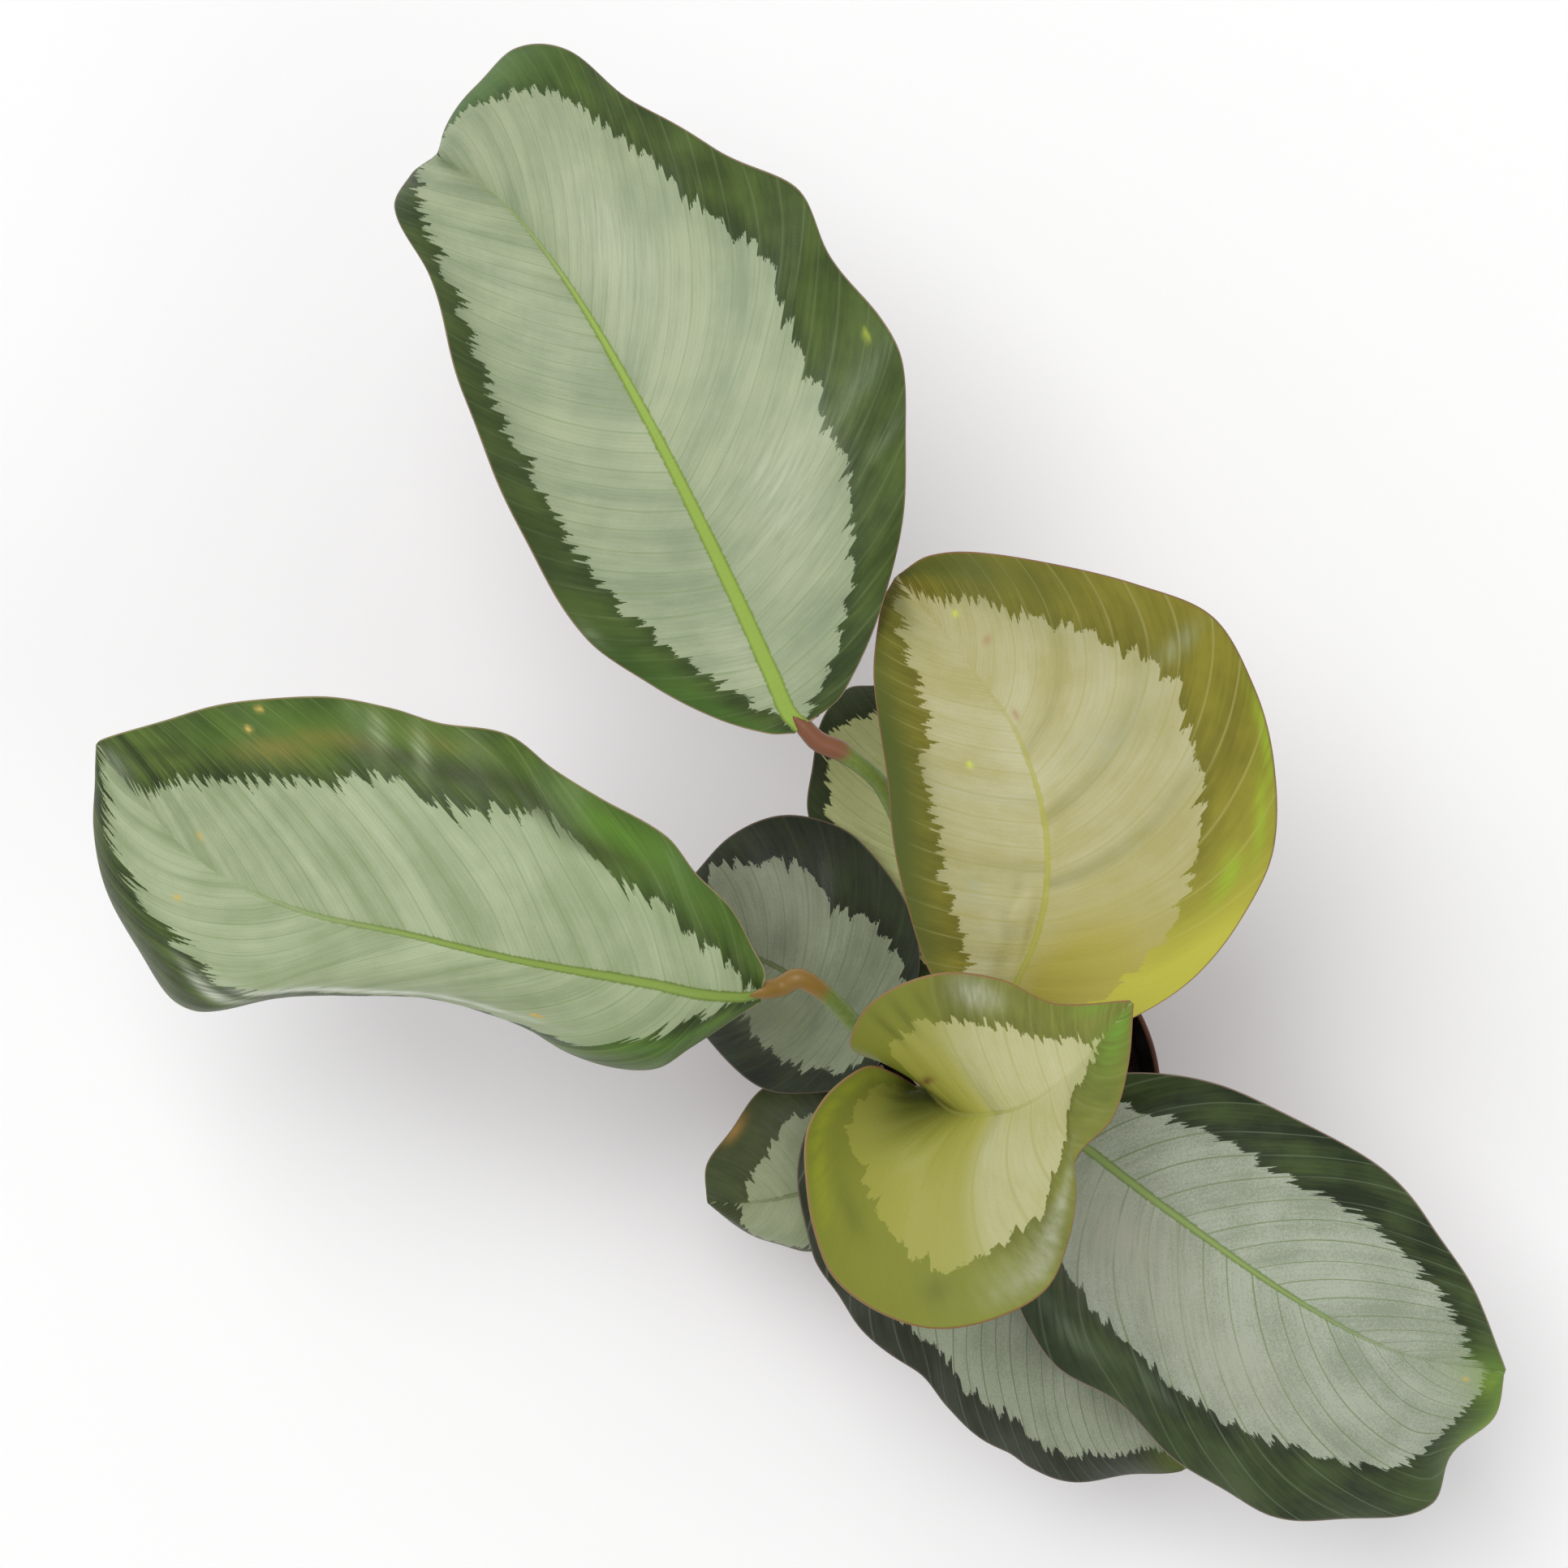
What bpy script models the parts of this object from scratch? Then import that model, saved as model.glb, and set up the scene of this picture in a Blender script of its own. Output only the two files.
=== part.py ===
"""Prayer plant with silver-centred leaves, growing in a 100 mm nursery pot.

Nine leaves, each a blade on its own stalk, stand in plain holes in the potting mix.
Metres, +Z up. The origin is the middle of the pot's underside.
Leaf shapes are given in millimetres, as points on the midrib and on the two margins.
"""

import math

import bmesh
import bpy
from mathutils import Vector

MM = 0.001
GAP = 0.3

# Pot, in millimetres: a thin moulded shell with a turned-out rim and a raised floor
POT_HEIGHT = 90.0
RIM_RADIUS = 50.0
RIM_DEPTH = 9.0
RIM_STEP = 1.8
BASE_RADIUS = 35.5
POT_WALL = 1.6
FOOT_HEIGHT = 3.0
FOOT_WIDTH = 6.0
PAD_RADIUS = 11.0
FOOT_SLOPE = 1.5
RIM_ROUND = 0.6
LIP_STEP = 3.0
POT_SIDES = 56
DRAIN_COUNT = 6
DRAIN_RADIUS = 3.5
DRAIN_RING_RADIUS = 21.0
DRAIN_OVERRUN = 1.0
DRAIN_SIDES = 12

# Potting mix, in millimetres
SOIL_TOP = 76.0
SOIL_CROWN = 1.5
SOIL_EDGE_ROUND = 1.0
HOLE_OVERRUN = 6.0
HOLE_SIDES = 16

# Stalks, in millimetres
STALK_RADIUS = 2.4
STALK_FOOT_Z = 64.0
STALK_STRAIGHT_Z = 79.0
HOLE_CLEARANCE = 0.35
STALK_DROP = 1.2
STALK_STEP = 13.0
JOINT_GAP = 0.65
JOINT_LENGTH = 6.0
SHEATH_LENGTH = 60.0
SHEATH_SWELL = 0.30
JOINT_SWELL_LENGTH = 18.0
JOINT_SWELL = 0.18

# Blades, in millimetres
BLADE_THICKNESS = 0.9
RIB_THICKNESS = 2.4
BASE_HALF_WIDTH = 3.0
RIB_HALF_WIDTH = 3.0
RIB_START = 0.30
RIB_GROWTH = 0.35
MERGE_DISTANCE = 0.9
TIP_HALF_WIDTH = 0.8
VEIN_FAN = (1.0, 1.35)
VEIN_SWEEP = 0.12
ARCH_START = 0.08

# Each leaf: the midrib from base to tip, then the margins on its left and right as it points away
# from its base. An arch is how far the blade bows up between midrib and margin, as a share of its
# half width, at the base, the middle and the tip. A ruffle is (height, waves, phase). The newest
# leaf is still a funnel, so each half of it bows out sideways from the funnel's axis. A fan says
# how far the veins' outer ends run behind their inner ends near the base, and ahead of them later.
LEAVES = {
    "a": {
        "midrib": [(-53, 104, 203), (-57, 108, 205), (-61, 117, 208), (-72, 141, 213), (-93, 183, 219),
                   (-114, 219, 216), (-133, 243, 205), (-151, 256, 188)],
        "left": [(-62, 102, 203), (-76, 106, 202), (-93, 115, 202), (-110, 127, 204), (-127, 155, 208),
                 (-142, 191, 210), (-151, 222, 206), (-161, 241, 198), (-157, 251, 190)],
        "right": [(-47, 108, 203), (-42, 113, 203), (-33, 133, 204), (-27, 156, 208), (-26, 180, 212),
                  (-27, 199, 214), (-33, 211, 213), (-46, 227, 214), (-55, 245, 211), (-76, 255, 211),
                  (-98, 269, 206), (-115, 282, 198), (-130, 285, 190), (-140, 275, 185), (-148, 264, 184)],
        "left_arch": (0.06, 0.08, 0.35),
        "right_arch": (0.08, 0.08, 0.30),
        "left_ruffle": (0.8, 6, 0.2),
        "right_ruffle": (2.2, 7, 0.6),
        "foot": (-1, 5),
        "stalk": [(-4, 11, 108), (-10, 29, 142), (-18, 55, 168), (-31, 87, 190), (-42, 97, 198)],
        "stations": 26,
        "columns": 5,
    },
    "b": {
        "midrib": [(-64, 33, 189), (-69, 32, 191), (-80, 33, 193), (-94, 36, 195), (-128, 42, 198),
                   (-158, 49, 197), (-186, 55, 192), (-211, 66, 184), (-231, 84, 173),
                   (-244, 100, 164)],
        "right": [(-63, 39, 191), (-66, 45, 192), (-72, 56, 193), (-81, 65, 194), (-89, 75, 195),
                  (-106, 85, 198), (-119, 93, 199), (-131, 102, 197), (-149, 105, 196),
                  (-162, 109, 195), (-180, 112, 191), (-202, 111, 185), (-225, 106, 175)],
        "left": [(-70, 27, 186), (-83, 18, 179), (-92, 12, 176), (-103, 12, 172), (-117, 17, 167),
                 (-131, 25, 162), (-153, 33, 159), (-175, 34, 158), (-197, 33, 158), (-217, 28, 160),
                 (-225, 31, 162), (-233, 43, 164), (-241, 60, 165), (-245, 77, 166), (-245, 91, 164)],
        "left_arch": (0.15, 0.44, 0.22),
        "right_arch": (0.08, 0.10, 0.12),
        "left_ruffle": (1.0, 5, 0.0),
        "right_ruffle": (2.0, 6, 0.3),
        "foot": (-9, -2),
        "stalk": [(-12, 1, 112), (-22, 10, 148), (-36, 21, 173), (-46, 32, 184), (-54, 37, 187)],
        "stations": 26,
        "columns": 5,
    },
    "c": {
        "midrib": [(-1, 26, 214), (2, 36, 219), (7, 48, 223), (10, 63, 226), (9, 82, 225),
                   (2, 103, 220), (-8, 118, 212), (-16, 129, 204), (-28, 144, 192)],
        "left": [(-8, 28, 213), (-14, 32, 211), (-20, 40, 210), (-25, 54, 209), (-29, 73, 207),
                 (-31, 90, 206), (-34, 114, 203), (-34, 124, 200), (-32, 137, 195)],
        "right": [(7, 24, 213), (19, 22, 212), (36, 29, 212), (50, 39, 212), (62, 54, 213),
                  (70, 71, 213), (70, 94, 212), (65.5, 114, 210), (55, 132.5, 207), (35, 141, 205),
                  (13, 147, 203), (-8, 150, 200), (-20, 149, 195)],
        "left_arch": (0.06, 0.08, 0.08),
        "right_arch": (0.05, 0.07, 0.08),
        "left_ruffle": (0.5, 3, 0.0),
        "right_ruffle": (0.9, 4, 0.4),
        "foot": (8, 4),
        "stalk": [(8, 8, 112), (4, 14, 160), (-1, 18, 198)],
        "stations": 22,
        "columns": 5,
    },
    "d": {
        "midrib": [(-21, 11, 205), (-17, 6, 222), (-11, 4, 236), (-2, 5, 243), (7, 9, 246),
                   (18, 18, 246), (31, 33, 240)],
        "left": [(-24, 14, 210), (-30.5, 17, 221), (-37.5, 18.6, 233), (-41, 22.5, 243), (-37, 32, 251),
                 (-28, 38, 254), (-16, 41, 255), (-2, 39, 251), (11, 33, 245)],
        "right": [(-24.8, 11, 213.5), (-29.5, 14.2, 226.5), (-36, 16.3, 237.5), (-42, 13.5, 243),
                  (-48, 8, 247), (-52, 0, 249), (-52, -12, 250), (-50, -25, 248), (-45, -37, 244),
                  (-34, -46, 240), (-20, -51, 236), (-5, -49, 235), (9, -41, 236), (15, -28, 238),
                  (17, -16, 240), (17, -7, 240), (26, 3, 240), (30, 17, 240)],
        "left_arch": (-0.38, -0.10, 0.0),
        "right_arch": (-0.50, -0.07, 0.0),
        "left_up": (0.1, -0.7, 0.7),
        "right_up": (0.1, 0.7, 0.7),
        "fan": (1.3, 1.5),
        "left_ruffle": (0.3, 3, 0.0),
        "right_ruffle": (0.5, 4, 0.5),
        "foot": (0, -4),
        "stalk": [(-3, -3, 112), (-11, 4, 160), (-19, 9, 190)],
        "stations": 26,
        "columns": 6,
    },
    "e": {
        "midrib": [(15, -3, 134), (26, -12, 141), (50, -30, 148), (83, -53, 146), (111, -68, 138),
                   (144, -76, 120)],
        "left": [(20, 3, 135), (36, 9, 138), (62, 6, 140), (84, -4, 142), (107, -17, 140),
                 (125, -38, 136), (138, -60, 128)],
        "right": [(9, -9, 132), (3, -25, 130), (3, -41, 128), (7, -57, 126), (18, -73, 125),
                  (38, -87, 122), (55, -103, 118), (65, -110, 116), (80, -116.5, 114), (105, -119, 112),
                  (124.5, -113, 112), (130, -101, 114), (141, -89.5, 116)],
        "left_arch": (0.06, 0.08, 0.12),
        "right_arch": (0.05, 0.09, 0.12),
        "left_ruffle": (1.2, 5, 0.1),
        "right_ruffle": (1.8, 6, 0.4),
        "foot": (8, -7),
        "stalk": [(7, -5, 104), (8, -1, 122)],
        "stations": 22,
        "columns": 5,
    },
    "f": {
        "midrib": [(-32, 6, 103), (-21, -7, 108), (-7, -22, 111), (16, -50, 111), (40, -80, 104),
                   (57, -107, 91)],
        "left": [(-25, 4, 103), (-18, -3, 105), (-9, -10, 106), (12, -22, 107), (37, -40, 107),
                 (54, -61, 103), (62, -82, 97), (62, -98, 92)],
        "right": [(-40, 3, 103), (-50, -6, 103), (-54, -22, 104), (-50, -44, 102), (-43, -55, 101),
                  (-36, -67, 100), (-20, -78, 98), (-12, -89, 96), (6, -102.5, 92), (12, -107.5, 90.5),
                  (21, -110, 89), (43, -110, 87)],
        "left_arch": (0.05, 0.08, 0.08),
        "right_arch": (0.06, 0.14, 0.15),
        "left_ruffle": (0.8, 4, 0.0),
        "right_ruffle": (2.2, 6, 0.2),
        "foot": (-27, 18),
        "stalk": [(-31, 16, 93)],
        "stations": 20,
        "columns": 4,
    },
    "g": {
        "midrib": [(-28, -19, 92), (-36, -22, 95), (-50, -27, 96), (-62, -30, 94), (-73, -31, 89),
                   (-80, -31, 84)],
        "right": [(-31, -12, 94), (-40, -1, 96), (-52, 5, 96), (-64, 2, 94), (-73, -10, 92),
                  (-80, -20, 88)],
        "left": [(-32, -27, 93), (-40, -41, 93), (-51, -45, 91), (-60, -43, 88), (-72, -38, 85)],
        "left_arch": (0.12, 0.45, 0.35),
        "right_arch": (0.08, 0.10, 0.10),
        "left_ruffle": (0.6, 3, 0.0),
        "right_ruffle": (0.8, 3, 0.4),
        "foot": (-15, -11),
        "stalk": [(-18, -13, 86)],
        "stations": 16,
        "columns": 4,
    },
    "h": {
        "midrib": [(-29, 15, 124), (-41, 26, 130), (-60, 38, 133), (-77, 45, 129), (-94, 50, 119)],
        "right": [(-25, 21, 123), (-20, 38, 123), (-24, 56, 125), (-37, 73, 127), (-48, 79, 127),
                  (-60, 80, 126), (-73, 74, 124), (-83, 64, 121)],
        "left": [(-33, 8, 122), (-40, 4, 121), (-50, 2, 120), (-62, 3, 119), (-73, 10, 118),
                 (-81, 19, 117), (-90, 35, 117)],
        "left_arch": (0.06, 0.12, 0.12),
        "right_arch": (0.06, 0.10, 0.10),
        "left_ruffle": (0.8, 3, 0.0),
        "right_ruffle": (1.0, 4, 0.3),
        "foot": (-12, 8),
        "stalk": [(-17, 10, 104), (-24, 12, 117)],
        "stations": 18,
        "columns": 4,
    },
    "i": {
        "midrib": [(-11, 28, 109), (-14, 51, 115), (-19, 79, 117), (-26, 104, 111), (-31, 117, 103)],
        "left": [(-18, 31, 109), (-30, 44, 110), (-42, 61, 111), (-51, 80, 111), (-50, 94, 109),
                 (-47, 107, 105), (-40, 116, 102)],
        "right": [(-4, 31, 109), (2, 48, 112), (1, 72, 113), (-5, 92, 109), (-12, 109, 104),
                  (-22, 117, 101)],
        "left_arch": (0.06, 0.10, 0.10),
        "right_arch": (0.06, 0.10, 0.10),
        "left_ruffle": (0.6, 4, 0.0),
        "right_ruffle": (0.6, 4, 0.5),
        "foot": (-4, 14),
        "stalk": [(-7, 20, 98)],
        "stations": 16,
        "columns": 4,
    },
}

# Leaf colours: the blade reads as its pale centre from a distance
MATURE_GREEN = (0.30, 0.40, 0.24)
YOUNG_YELLOW = (0.42, 0.40, 0.17)
NEW_YELLOW = (0.38, 0.38, 0.13)
SHADED_GREEN = (0.14, 0.17, 0.11)
STALK_GREEN = (0.15, 0.20, 0.05)
POT_BLACK = (0.02, 0.02, 0.022)
SOIL_BROWN = (0.035, 0.022, 0.014)
BLADE_COLOURS = {
    "a": MATURE_GREEN,
    "b": MATURE_GREEN,
    "c": YOUNG_YELLOW,
    "d": NEW_YELLOW,
    "e": MATURE_GREEN,
    "f": SHADED_GREEN,
    "g": SHADED_GREEN,
    "h": SHADED_GREEN,
    "i": SHADED_GREEN,
}


def clear_scene():
    for item in list(bpy.data.objects):
        bpy.data.objects.remove(item, do_unlink=True)


def new_collection(name):
    collection = bpy.data.collections.new(name)
    bpy.context.scene.collection.children.link(collection)
    return collection


def new_material(name, colour, roughness):
    material = bpy.data.materials.new(name)
    material.use_nodes = True
    shader = material.node_tree.nodes["Principled BSDF"]
    shader.inputs["Base Color"].default_value = (*colour, 1.0)
    shader.inputs["Roughness"].default_value = roughness
    shader.inputs["Metallic"].default_value = 0.0
    return material


def add_object(name, data, collection, material=None):
    item = bpy.data.objects.new(name, data)
    collection.objects.link(item)
    if material is not None:
        data.materials.append(material)
    return item


def curve_through(points, place):
    """The point at a share of the way along a smooth curve through the given points."""
    lengths = [0.0]
    for start, end in zip(points, points[1:]):
        lengths.append(lengths[-1] + (end - start).length)
    target = place * lengths[-1]
    index = 0
    while index < len(points) - 2 and lengths[index + 1] < target:
        index += 1
    span = lengths[index + 1] - lengths[index]
    part = (target - lengths[index]) / span
    before = points[max(index - 1, 0)]
    after = points[min(index + 2, len(points) - 1)]
    start = points[index]
    end = points[index + 1]
    before_span = max((start - before).length, span * 0.5) if index > 0 else span
    after_span = max((after - end).length, span * 0.5) if index < len(points) - 2 else span
    leave = (end - before) * (span / (span + before_span)) if index > 0 else end - start
    arrive = (after - start) * (span / (span + after_span)) if index < len(points) - 2 else end - start
    square = part * part
    cube = square * part
    return (start * (2 * cube - 3 * square + 1) + leave * (cube - 2 * square + part)
            + end * (3 * square - 2 * cube) + arrive * (cube - square))


def three_way(values, place):
    """A value that runs from the first through the second to the third."""
    first, middle, last = values
    if place < 0.5:
        return first + (middle - first) * place * 2.0
    return middle + (last - middle) * (place * 2.0 - 1.0)


class Blade:
    """The surface of one blade, as the point at a place along and across it."""

    def __init__(self, leaf):
        self.leaf = leaf
        self.midrib = [Vector(point) for point in leaf["midrib"]]
        self.heading = (self.midrib[1] - self.midrib[0]).normalized()
        tip_heading = (self.midrib[-1] - self.midrib[-2]).normalized()
        base_across = self.between_margins(0, self.heading)
        self.under = base_across.cross(self.heading)
        tip_across = self.between_margins(-1, tip_heading)
        self.margins = {}
        for side, sign in (("left", 1.0), ("right", -1.0)):
            first = self.midrib[0] + base_across * sign * BASE_HALF_WIDTH
            last = self.midrib[-1] + tip_across * sign * TIP_HALF_WIDTH
            self.margins[side] = [first] + [Vector(point) for point in leaf[side]] + [last]

    def between_margins(self, end, heading):
        """The way from right to left margin at one end of the blade, square to the midrib there."""
        across = Vector(self.leaf["left"][end]) - Vector(self.leaf["right"][end])
        return (across - heading * across.dot(heading)).normalized()

    def point(self, side, along, across):
        """Along runs from base to tip on the midrib, and across from midrib to margin."""
        slow, lead = self.leaf.get("fan", VEIN_FAN)
        edge_place = 1.0 - (1.0 - along ** slow) ** lead
        centre = curve_through(self.midrib, along)
        edge = curve_through(self.margins[side], edge_place)
        chord = edge - centre
        width = chord.length
        direction = chord / width
        up = Vector(self.leaf.get(side + "_up", (0.0, 0.0, 1.0)))
        normal = (up - direction * up.dot(direction)).normalized()
        forward = normal.cross(direction) * (1.0 if side == "right" else -1.0)
        arch = three_way(self.leaf[side + "_arch"], along) * min(along / ARCH_START, 1.0)
        fade = math.sin(math.pi * min(max(along, 0.0), 1.0))
        control = (centre + chord * 0.5 + normal * arch * width * 2.0 ** 0.5
                   - forward * VEIN_SWEEP * fade * width)
        height, waves, phase = self.leaf[side + "_ruffle"]
        ruffle = height * across ** 3 * fade ** 0.5 * math.sin(2.0 * math.pi * (waves * edge_place + phase))
        keep = 1.0 - across
        return (centre * keep * keep + control * 2.0 * keep * across + edge * across * across
                + normal * ruffle)


def make_blade(name, leaf, collection, material):
    """An open grid from margin to margin, split into triangles and given its thickness."""
    surface = Blade(leaf)
    stations = leaf["stations"]
    columns = leaf["columns"]
    grid = bmesh.new()
    rib_layer = grid.verts.layers.deform.verify()
    rows = []
    for row in range(stations + 1):
        along = row / stations
        grown = min(RIB_START + row * RIB_GROWTH, 1.0)
        rib = (RIB_THICKNESS - BLADE_THICKNESS) * grown * (1.0 - along)
        centre = surface.point("left", along, 0.0)
        line = []
        for column in range(-columns, columns + 1):
            side = "left" if column < 0 else "right"
            place = surface.point(side, along, abs(column) / columns)
            vertex = grid.verts.new(place * MM)
            beside = min((place - centre).length / RIB_HALF_WIDTH, 1.0)
            thickness = BLADE_THICKNESS + rib * (1.0 - beside)
            vertex[rib_layer][0] = thickness / RIB_THICKNESS
            line.append(vertex)
        rows.append(line)
    for near, far in zip(rows, rows[1:]):
        for column in range(2 * columns):
            corners = (near[column], near[column + 1], far[column + 1], far[column])
            grid.faces.new(corners)
    bmesh.ops.remove_doubles(grid, verts=list(grid.verts), dist=MERGE_DISTANCE * MM)
    bmesh.ops.triangulate(grid, faces=list(grid.faces), quad_method="SHORT_EDGE")
    mesh = bpy.data.meshes.new(name)
    grid.to_mesh(mesh)
    grid.free()
    mesh.shade_smooth()
    blade = add_object(name, mesh, collection, material)
    blade.vertex_groups.new(name="thickness")
    shell = blade.modifiers.new("thickness", "SOLIDIFY")
    shell.thickness = RIB_THICKNESS * MM
    shell.offset = -1.0
    shell.vertex_group = "thickness"
    return surface


def stalk_points(leaf, surface):
    """The stalk's centre line: straight out of the mix, up through its bends, in line with the rib."""
    foot_x, foot_y = leaf["foot"]
    base = surface.midrib[0] + surface.under * STALK_DROP
    end = base - surface.heading * JOINT_GAP
    joint = end - surface.heading * JOINT_LENGTH
    points = [Vector((foot_x, foot_y, STALK_FOOT_Z)), Vector((foot_x, foot_y, STALK_STRAIGHT_Z))]
    points += [Vector(point) for point in leaf["stalk"]]
    points += [joint, end]
    return points


def make_stalk(name, leaf, surface, collection, material):
    """A round stalk, thickest in its sheath at the foot and swollen again in the joint at its top."""
    route = stalk_points(leaf, surface)
    length = sum((end - start).length for start, end in zip(route, route[1:]))
    count = max(6, round(length / STALK_STEP))
    joint_share = 1.0 - JOINT_LENGTH / length
    shares = [joint_share * index / count for index in range(count + 1)] + [1.0]
    curve = bpy.data.curves.new(name, "CURVE")
    curve.dimensions = "3D"
    curve.bevel_depth = STALK_RADIUS * MM
    curve.bevel_resolution = 2
    curve.use_fill_caps = True
    spline = curve.splines.new("POLY")
    spline.points.add(len(shares) - 1)
    for share, point in zip(shares, spline.points):
        place = curve_through(route, share)
        point.co = (*(place * MM), 1.0)
        above = share * length
        sheath = SHEATH_SWELL * max(0.0, 1.0 - above / SHEATH_LENGTH)
        joint = JOINT_SWELL * math.sin(math.pi * min((length - above) / JOINT_SWELL_LENGTH, 1.0))
        point.radius = 1.0 + sheath + joint
    return add_object(name, curve, collection, material)


def turned(name, profile, sides, collection, material=None):
    """A profile of (radius, height) turned about the vertical axis."""
    mesh = bpy.data.meshes.new(name)
    points = [(radius * MM, 0.0, height * MM) for radius, height in profile]
    edges = [(index, index + 1) for index in range(len(points) - 1)]
    mesh.from_pydata(points, edges, [])
    item = add_object(name, mesh, collection, material)
    screw = item.modifiers.new("turn", "SCREW")
    screw.axis = "Z"
    screw.steps = sides
    screw.render_steps = sides
    screw.use_merge_vertices = True
    screw.merge_threshold = 0.00001
    screw.use_smooth_shade = True
    return item


def subtract(item, cutter):
    cut = item.modifiers.new(cutter.name, "BOOLEAN")
    cut.operation = "DIFFERENCE"
    cut.solver = "EXACT"
    cut.object = cutter


def add_cylinder(name, x, y, low, high, radius, sides, collection):
    """An upright cylinder, in millimetres, used as a cutter."""
    mesh = bpy.data.meshes.new(name)
    shape = bmesh.new()
    bmesh.ops.create_cone(shape, cap_ends=True, segments=sides, radius1=radius * MM,
                          radius2=radius * MM, depth=(high - low) * MM)
    shape.to_mesh(mesh)
    shape.free()
    cutter = add_object(name, mesh, collection)
    cutter.location = (x * MM, y * MM, (low + high) / 2.0 * MM)
    cutter.hide_render = True
    cutter.display_type = "WIRE"
    return cutter


def wall_radius(height):
    """The pot's outside radius below its rim, which tapers evenly to the base."""
    top = RIM_RADIUS - RIM_STEP
    return BASE_RADIUS + (top - BASE_RADIUS) * height / (POT_HEIGHT - RIM_DEPTH)


def inside_radius(height):
    return wall_radius(height) - POT_WALL


def make_pot(collection, cutters, material):
    """A closed profile: out along the floor, up the inside, over the rim, down to the foot and pad."""
    rim_low = POT_HEIGHT - RIM_DEPTH
    floor_top = FOOT_HEIGHT + POT_WALL
    profile = [
        (0.0, floor_top),
        (inside_radius(floor_top), floor_top),
        (inside_radius(rim_low), rim_low),
        (RIM_RADIUS - POT_WALL - RIM_ROUND, rim_low + LIP_STEP),
        (RIM_RADIUS - POT_WALL, POT_HEIGHT - RIM_ROUND),
        (RIM_RADIUS - POT_WALL + RIM_ROUND, POT_HEIGHT),
        (RIM_RADIUS - RIM_ROUND, POT_HEIGHT),
        (RIM_RADIUS, POT_HEIGHT - RIM_ROUND),
        (RIM_RADIUS - RIM_ROUND, rim_low),
        (wall_radius(rim_low), rim_low - RIM_ROUND),
        (BASE_RADIUS, RIM_ROUND),
        (BASE_RADIUS - RIM_ROUND, 0.0),
        (BASE_RADIUS - FOOT_WIDTH, 0.0),
        (BASE_RADIUS - FOOT_WIDTH - FOOT_SLOPE, FOOT_HEIGHT),
        (PAD_RADIUS + FOOT_SLOPE, FOOT_HEIGHT),
        (PAD_RADIUS, 0.0),
        (0.0, 0.0),
    ]
    pot = turned("pot", profile, POT_SIDES, collection, material)
    for index in range(DRAIN_COUNT):
        angle = 2.0 * math.pi * index / DRAIN_COUNT
        x = DRAIN_RING_RADIUS * math.cos(angle)
        y = DRAIN_RING_RADIUS * math.sin(angle)
        hole = add_cylinder(f"drain_{index}", x, y, FOOT_HEIGHT - DRAIN_OVERRUN,
                            floor_top + DRAIN_OVERRUN, DRAIN_RADIUS, DRAIN_SIDES, cutters)
        subtract(pot, hole)
    return pot


def make_soil(collection, cutters, material):
    """The mix fills the pot, a little higher in the middle, with a hole for each stalk."""
    floor = FOOT_HEIGHT + POT_WALL + GAP
    edge = inside_radius(SOIL_TOP) - GAP
    profile = [
        (0.0, SOIL_TOP + SOIL_CROWN),
        (edge * 0.55, SOIL_TOP + SOIL_CROWN * 0.8),
        (edge - SOIL_EDGE_ROUND, SOIL_TOP),
        (inside_radius(SOIL_TOP - SOIL_EDGE_ROUND) - GAP, SOIL_TOP - SOIL_EDGE_ROUND),
        (inside_radius(floor) - GAP, floor),
        (0.0, floor),
    ]
    soil = turned("soil", profile, POT_SIDES, collection, material)
    for key, leaf in LEAVES.items():
        x, y = leaf["foot"]
        radius = STALK_RADIUS * (1.0 + SHEATH_SWELL) + HOLE_CLEARANCE
        hole = add_cylinder(f"hole_{key}", x, y, STALK_FOOT_Z - GAP, SOIL_TOP + HOLE_OVERRUN,
                            radius, HOLE_SIDES, cutters)
        subtract(soil, hole)
    return soil


def build():
    clear_scene()
    plant = new_collection("prayer_plant")
    cutters = new_collection("cutters")
    make_pot(plant, cutters, new_material("pot_plastic", POT_BLACK, 0.45))
    make_soil(plant, cutters, new_material("potting_mix", SOIL_BROWN, 0.95))
    for key, leaf in LEAVES.items():
        skin = new_material(f"blade_{key}", BLADE_COLOURS[key], 0.5)
        surface = make_blade(f"blade_{key}", leaf, plant, skin)
        stem = new_material(f"stalk_{key}", STALK_GREEN, 0.5)
        make_stalk(f"stalk_{key}", leaf, surface, plant, stem)


build()
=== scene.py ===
"""The looks of a young prayer plant in its nursery pot: nine silver-centred leaves on slender stalks."""

import math
import random

import bmesh
import bpy
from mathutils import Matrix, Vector, noise


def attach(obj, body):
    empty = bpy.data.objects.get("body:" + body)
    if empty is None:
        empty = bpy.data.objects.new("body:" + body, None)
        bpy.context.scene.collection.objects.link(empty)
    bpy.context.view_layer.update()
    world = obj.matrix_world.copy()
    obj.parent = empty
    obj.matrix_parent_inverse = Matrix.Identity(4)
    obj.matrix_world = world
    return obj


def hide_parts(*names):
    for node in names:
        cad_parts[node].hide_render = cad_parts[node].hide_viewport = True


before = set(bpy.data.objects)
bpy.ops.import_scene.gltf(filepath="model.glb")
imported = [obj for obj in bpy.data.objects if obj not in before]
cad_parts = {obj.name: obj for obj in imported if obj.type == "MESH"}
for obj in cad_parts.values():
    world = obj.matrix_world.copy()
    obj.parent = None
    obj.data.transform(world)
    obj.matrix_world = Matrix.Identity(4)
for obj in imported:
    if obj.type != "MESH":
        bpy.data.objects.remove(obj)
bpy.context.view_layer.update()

# The nursery pot
# A thin round pot, moulded in one shot from soft plastic, chestnut brown with a black lining.
# It tapers to a foot ring, has a turned-out rim to lift it by, and six drain holes in its floor.
MM = 0.001
POT_HEIGHT = 90.0
POT_WALL = 1.6
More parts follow.
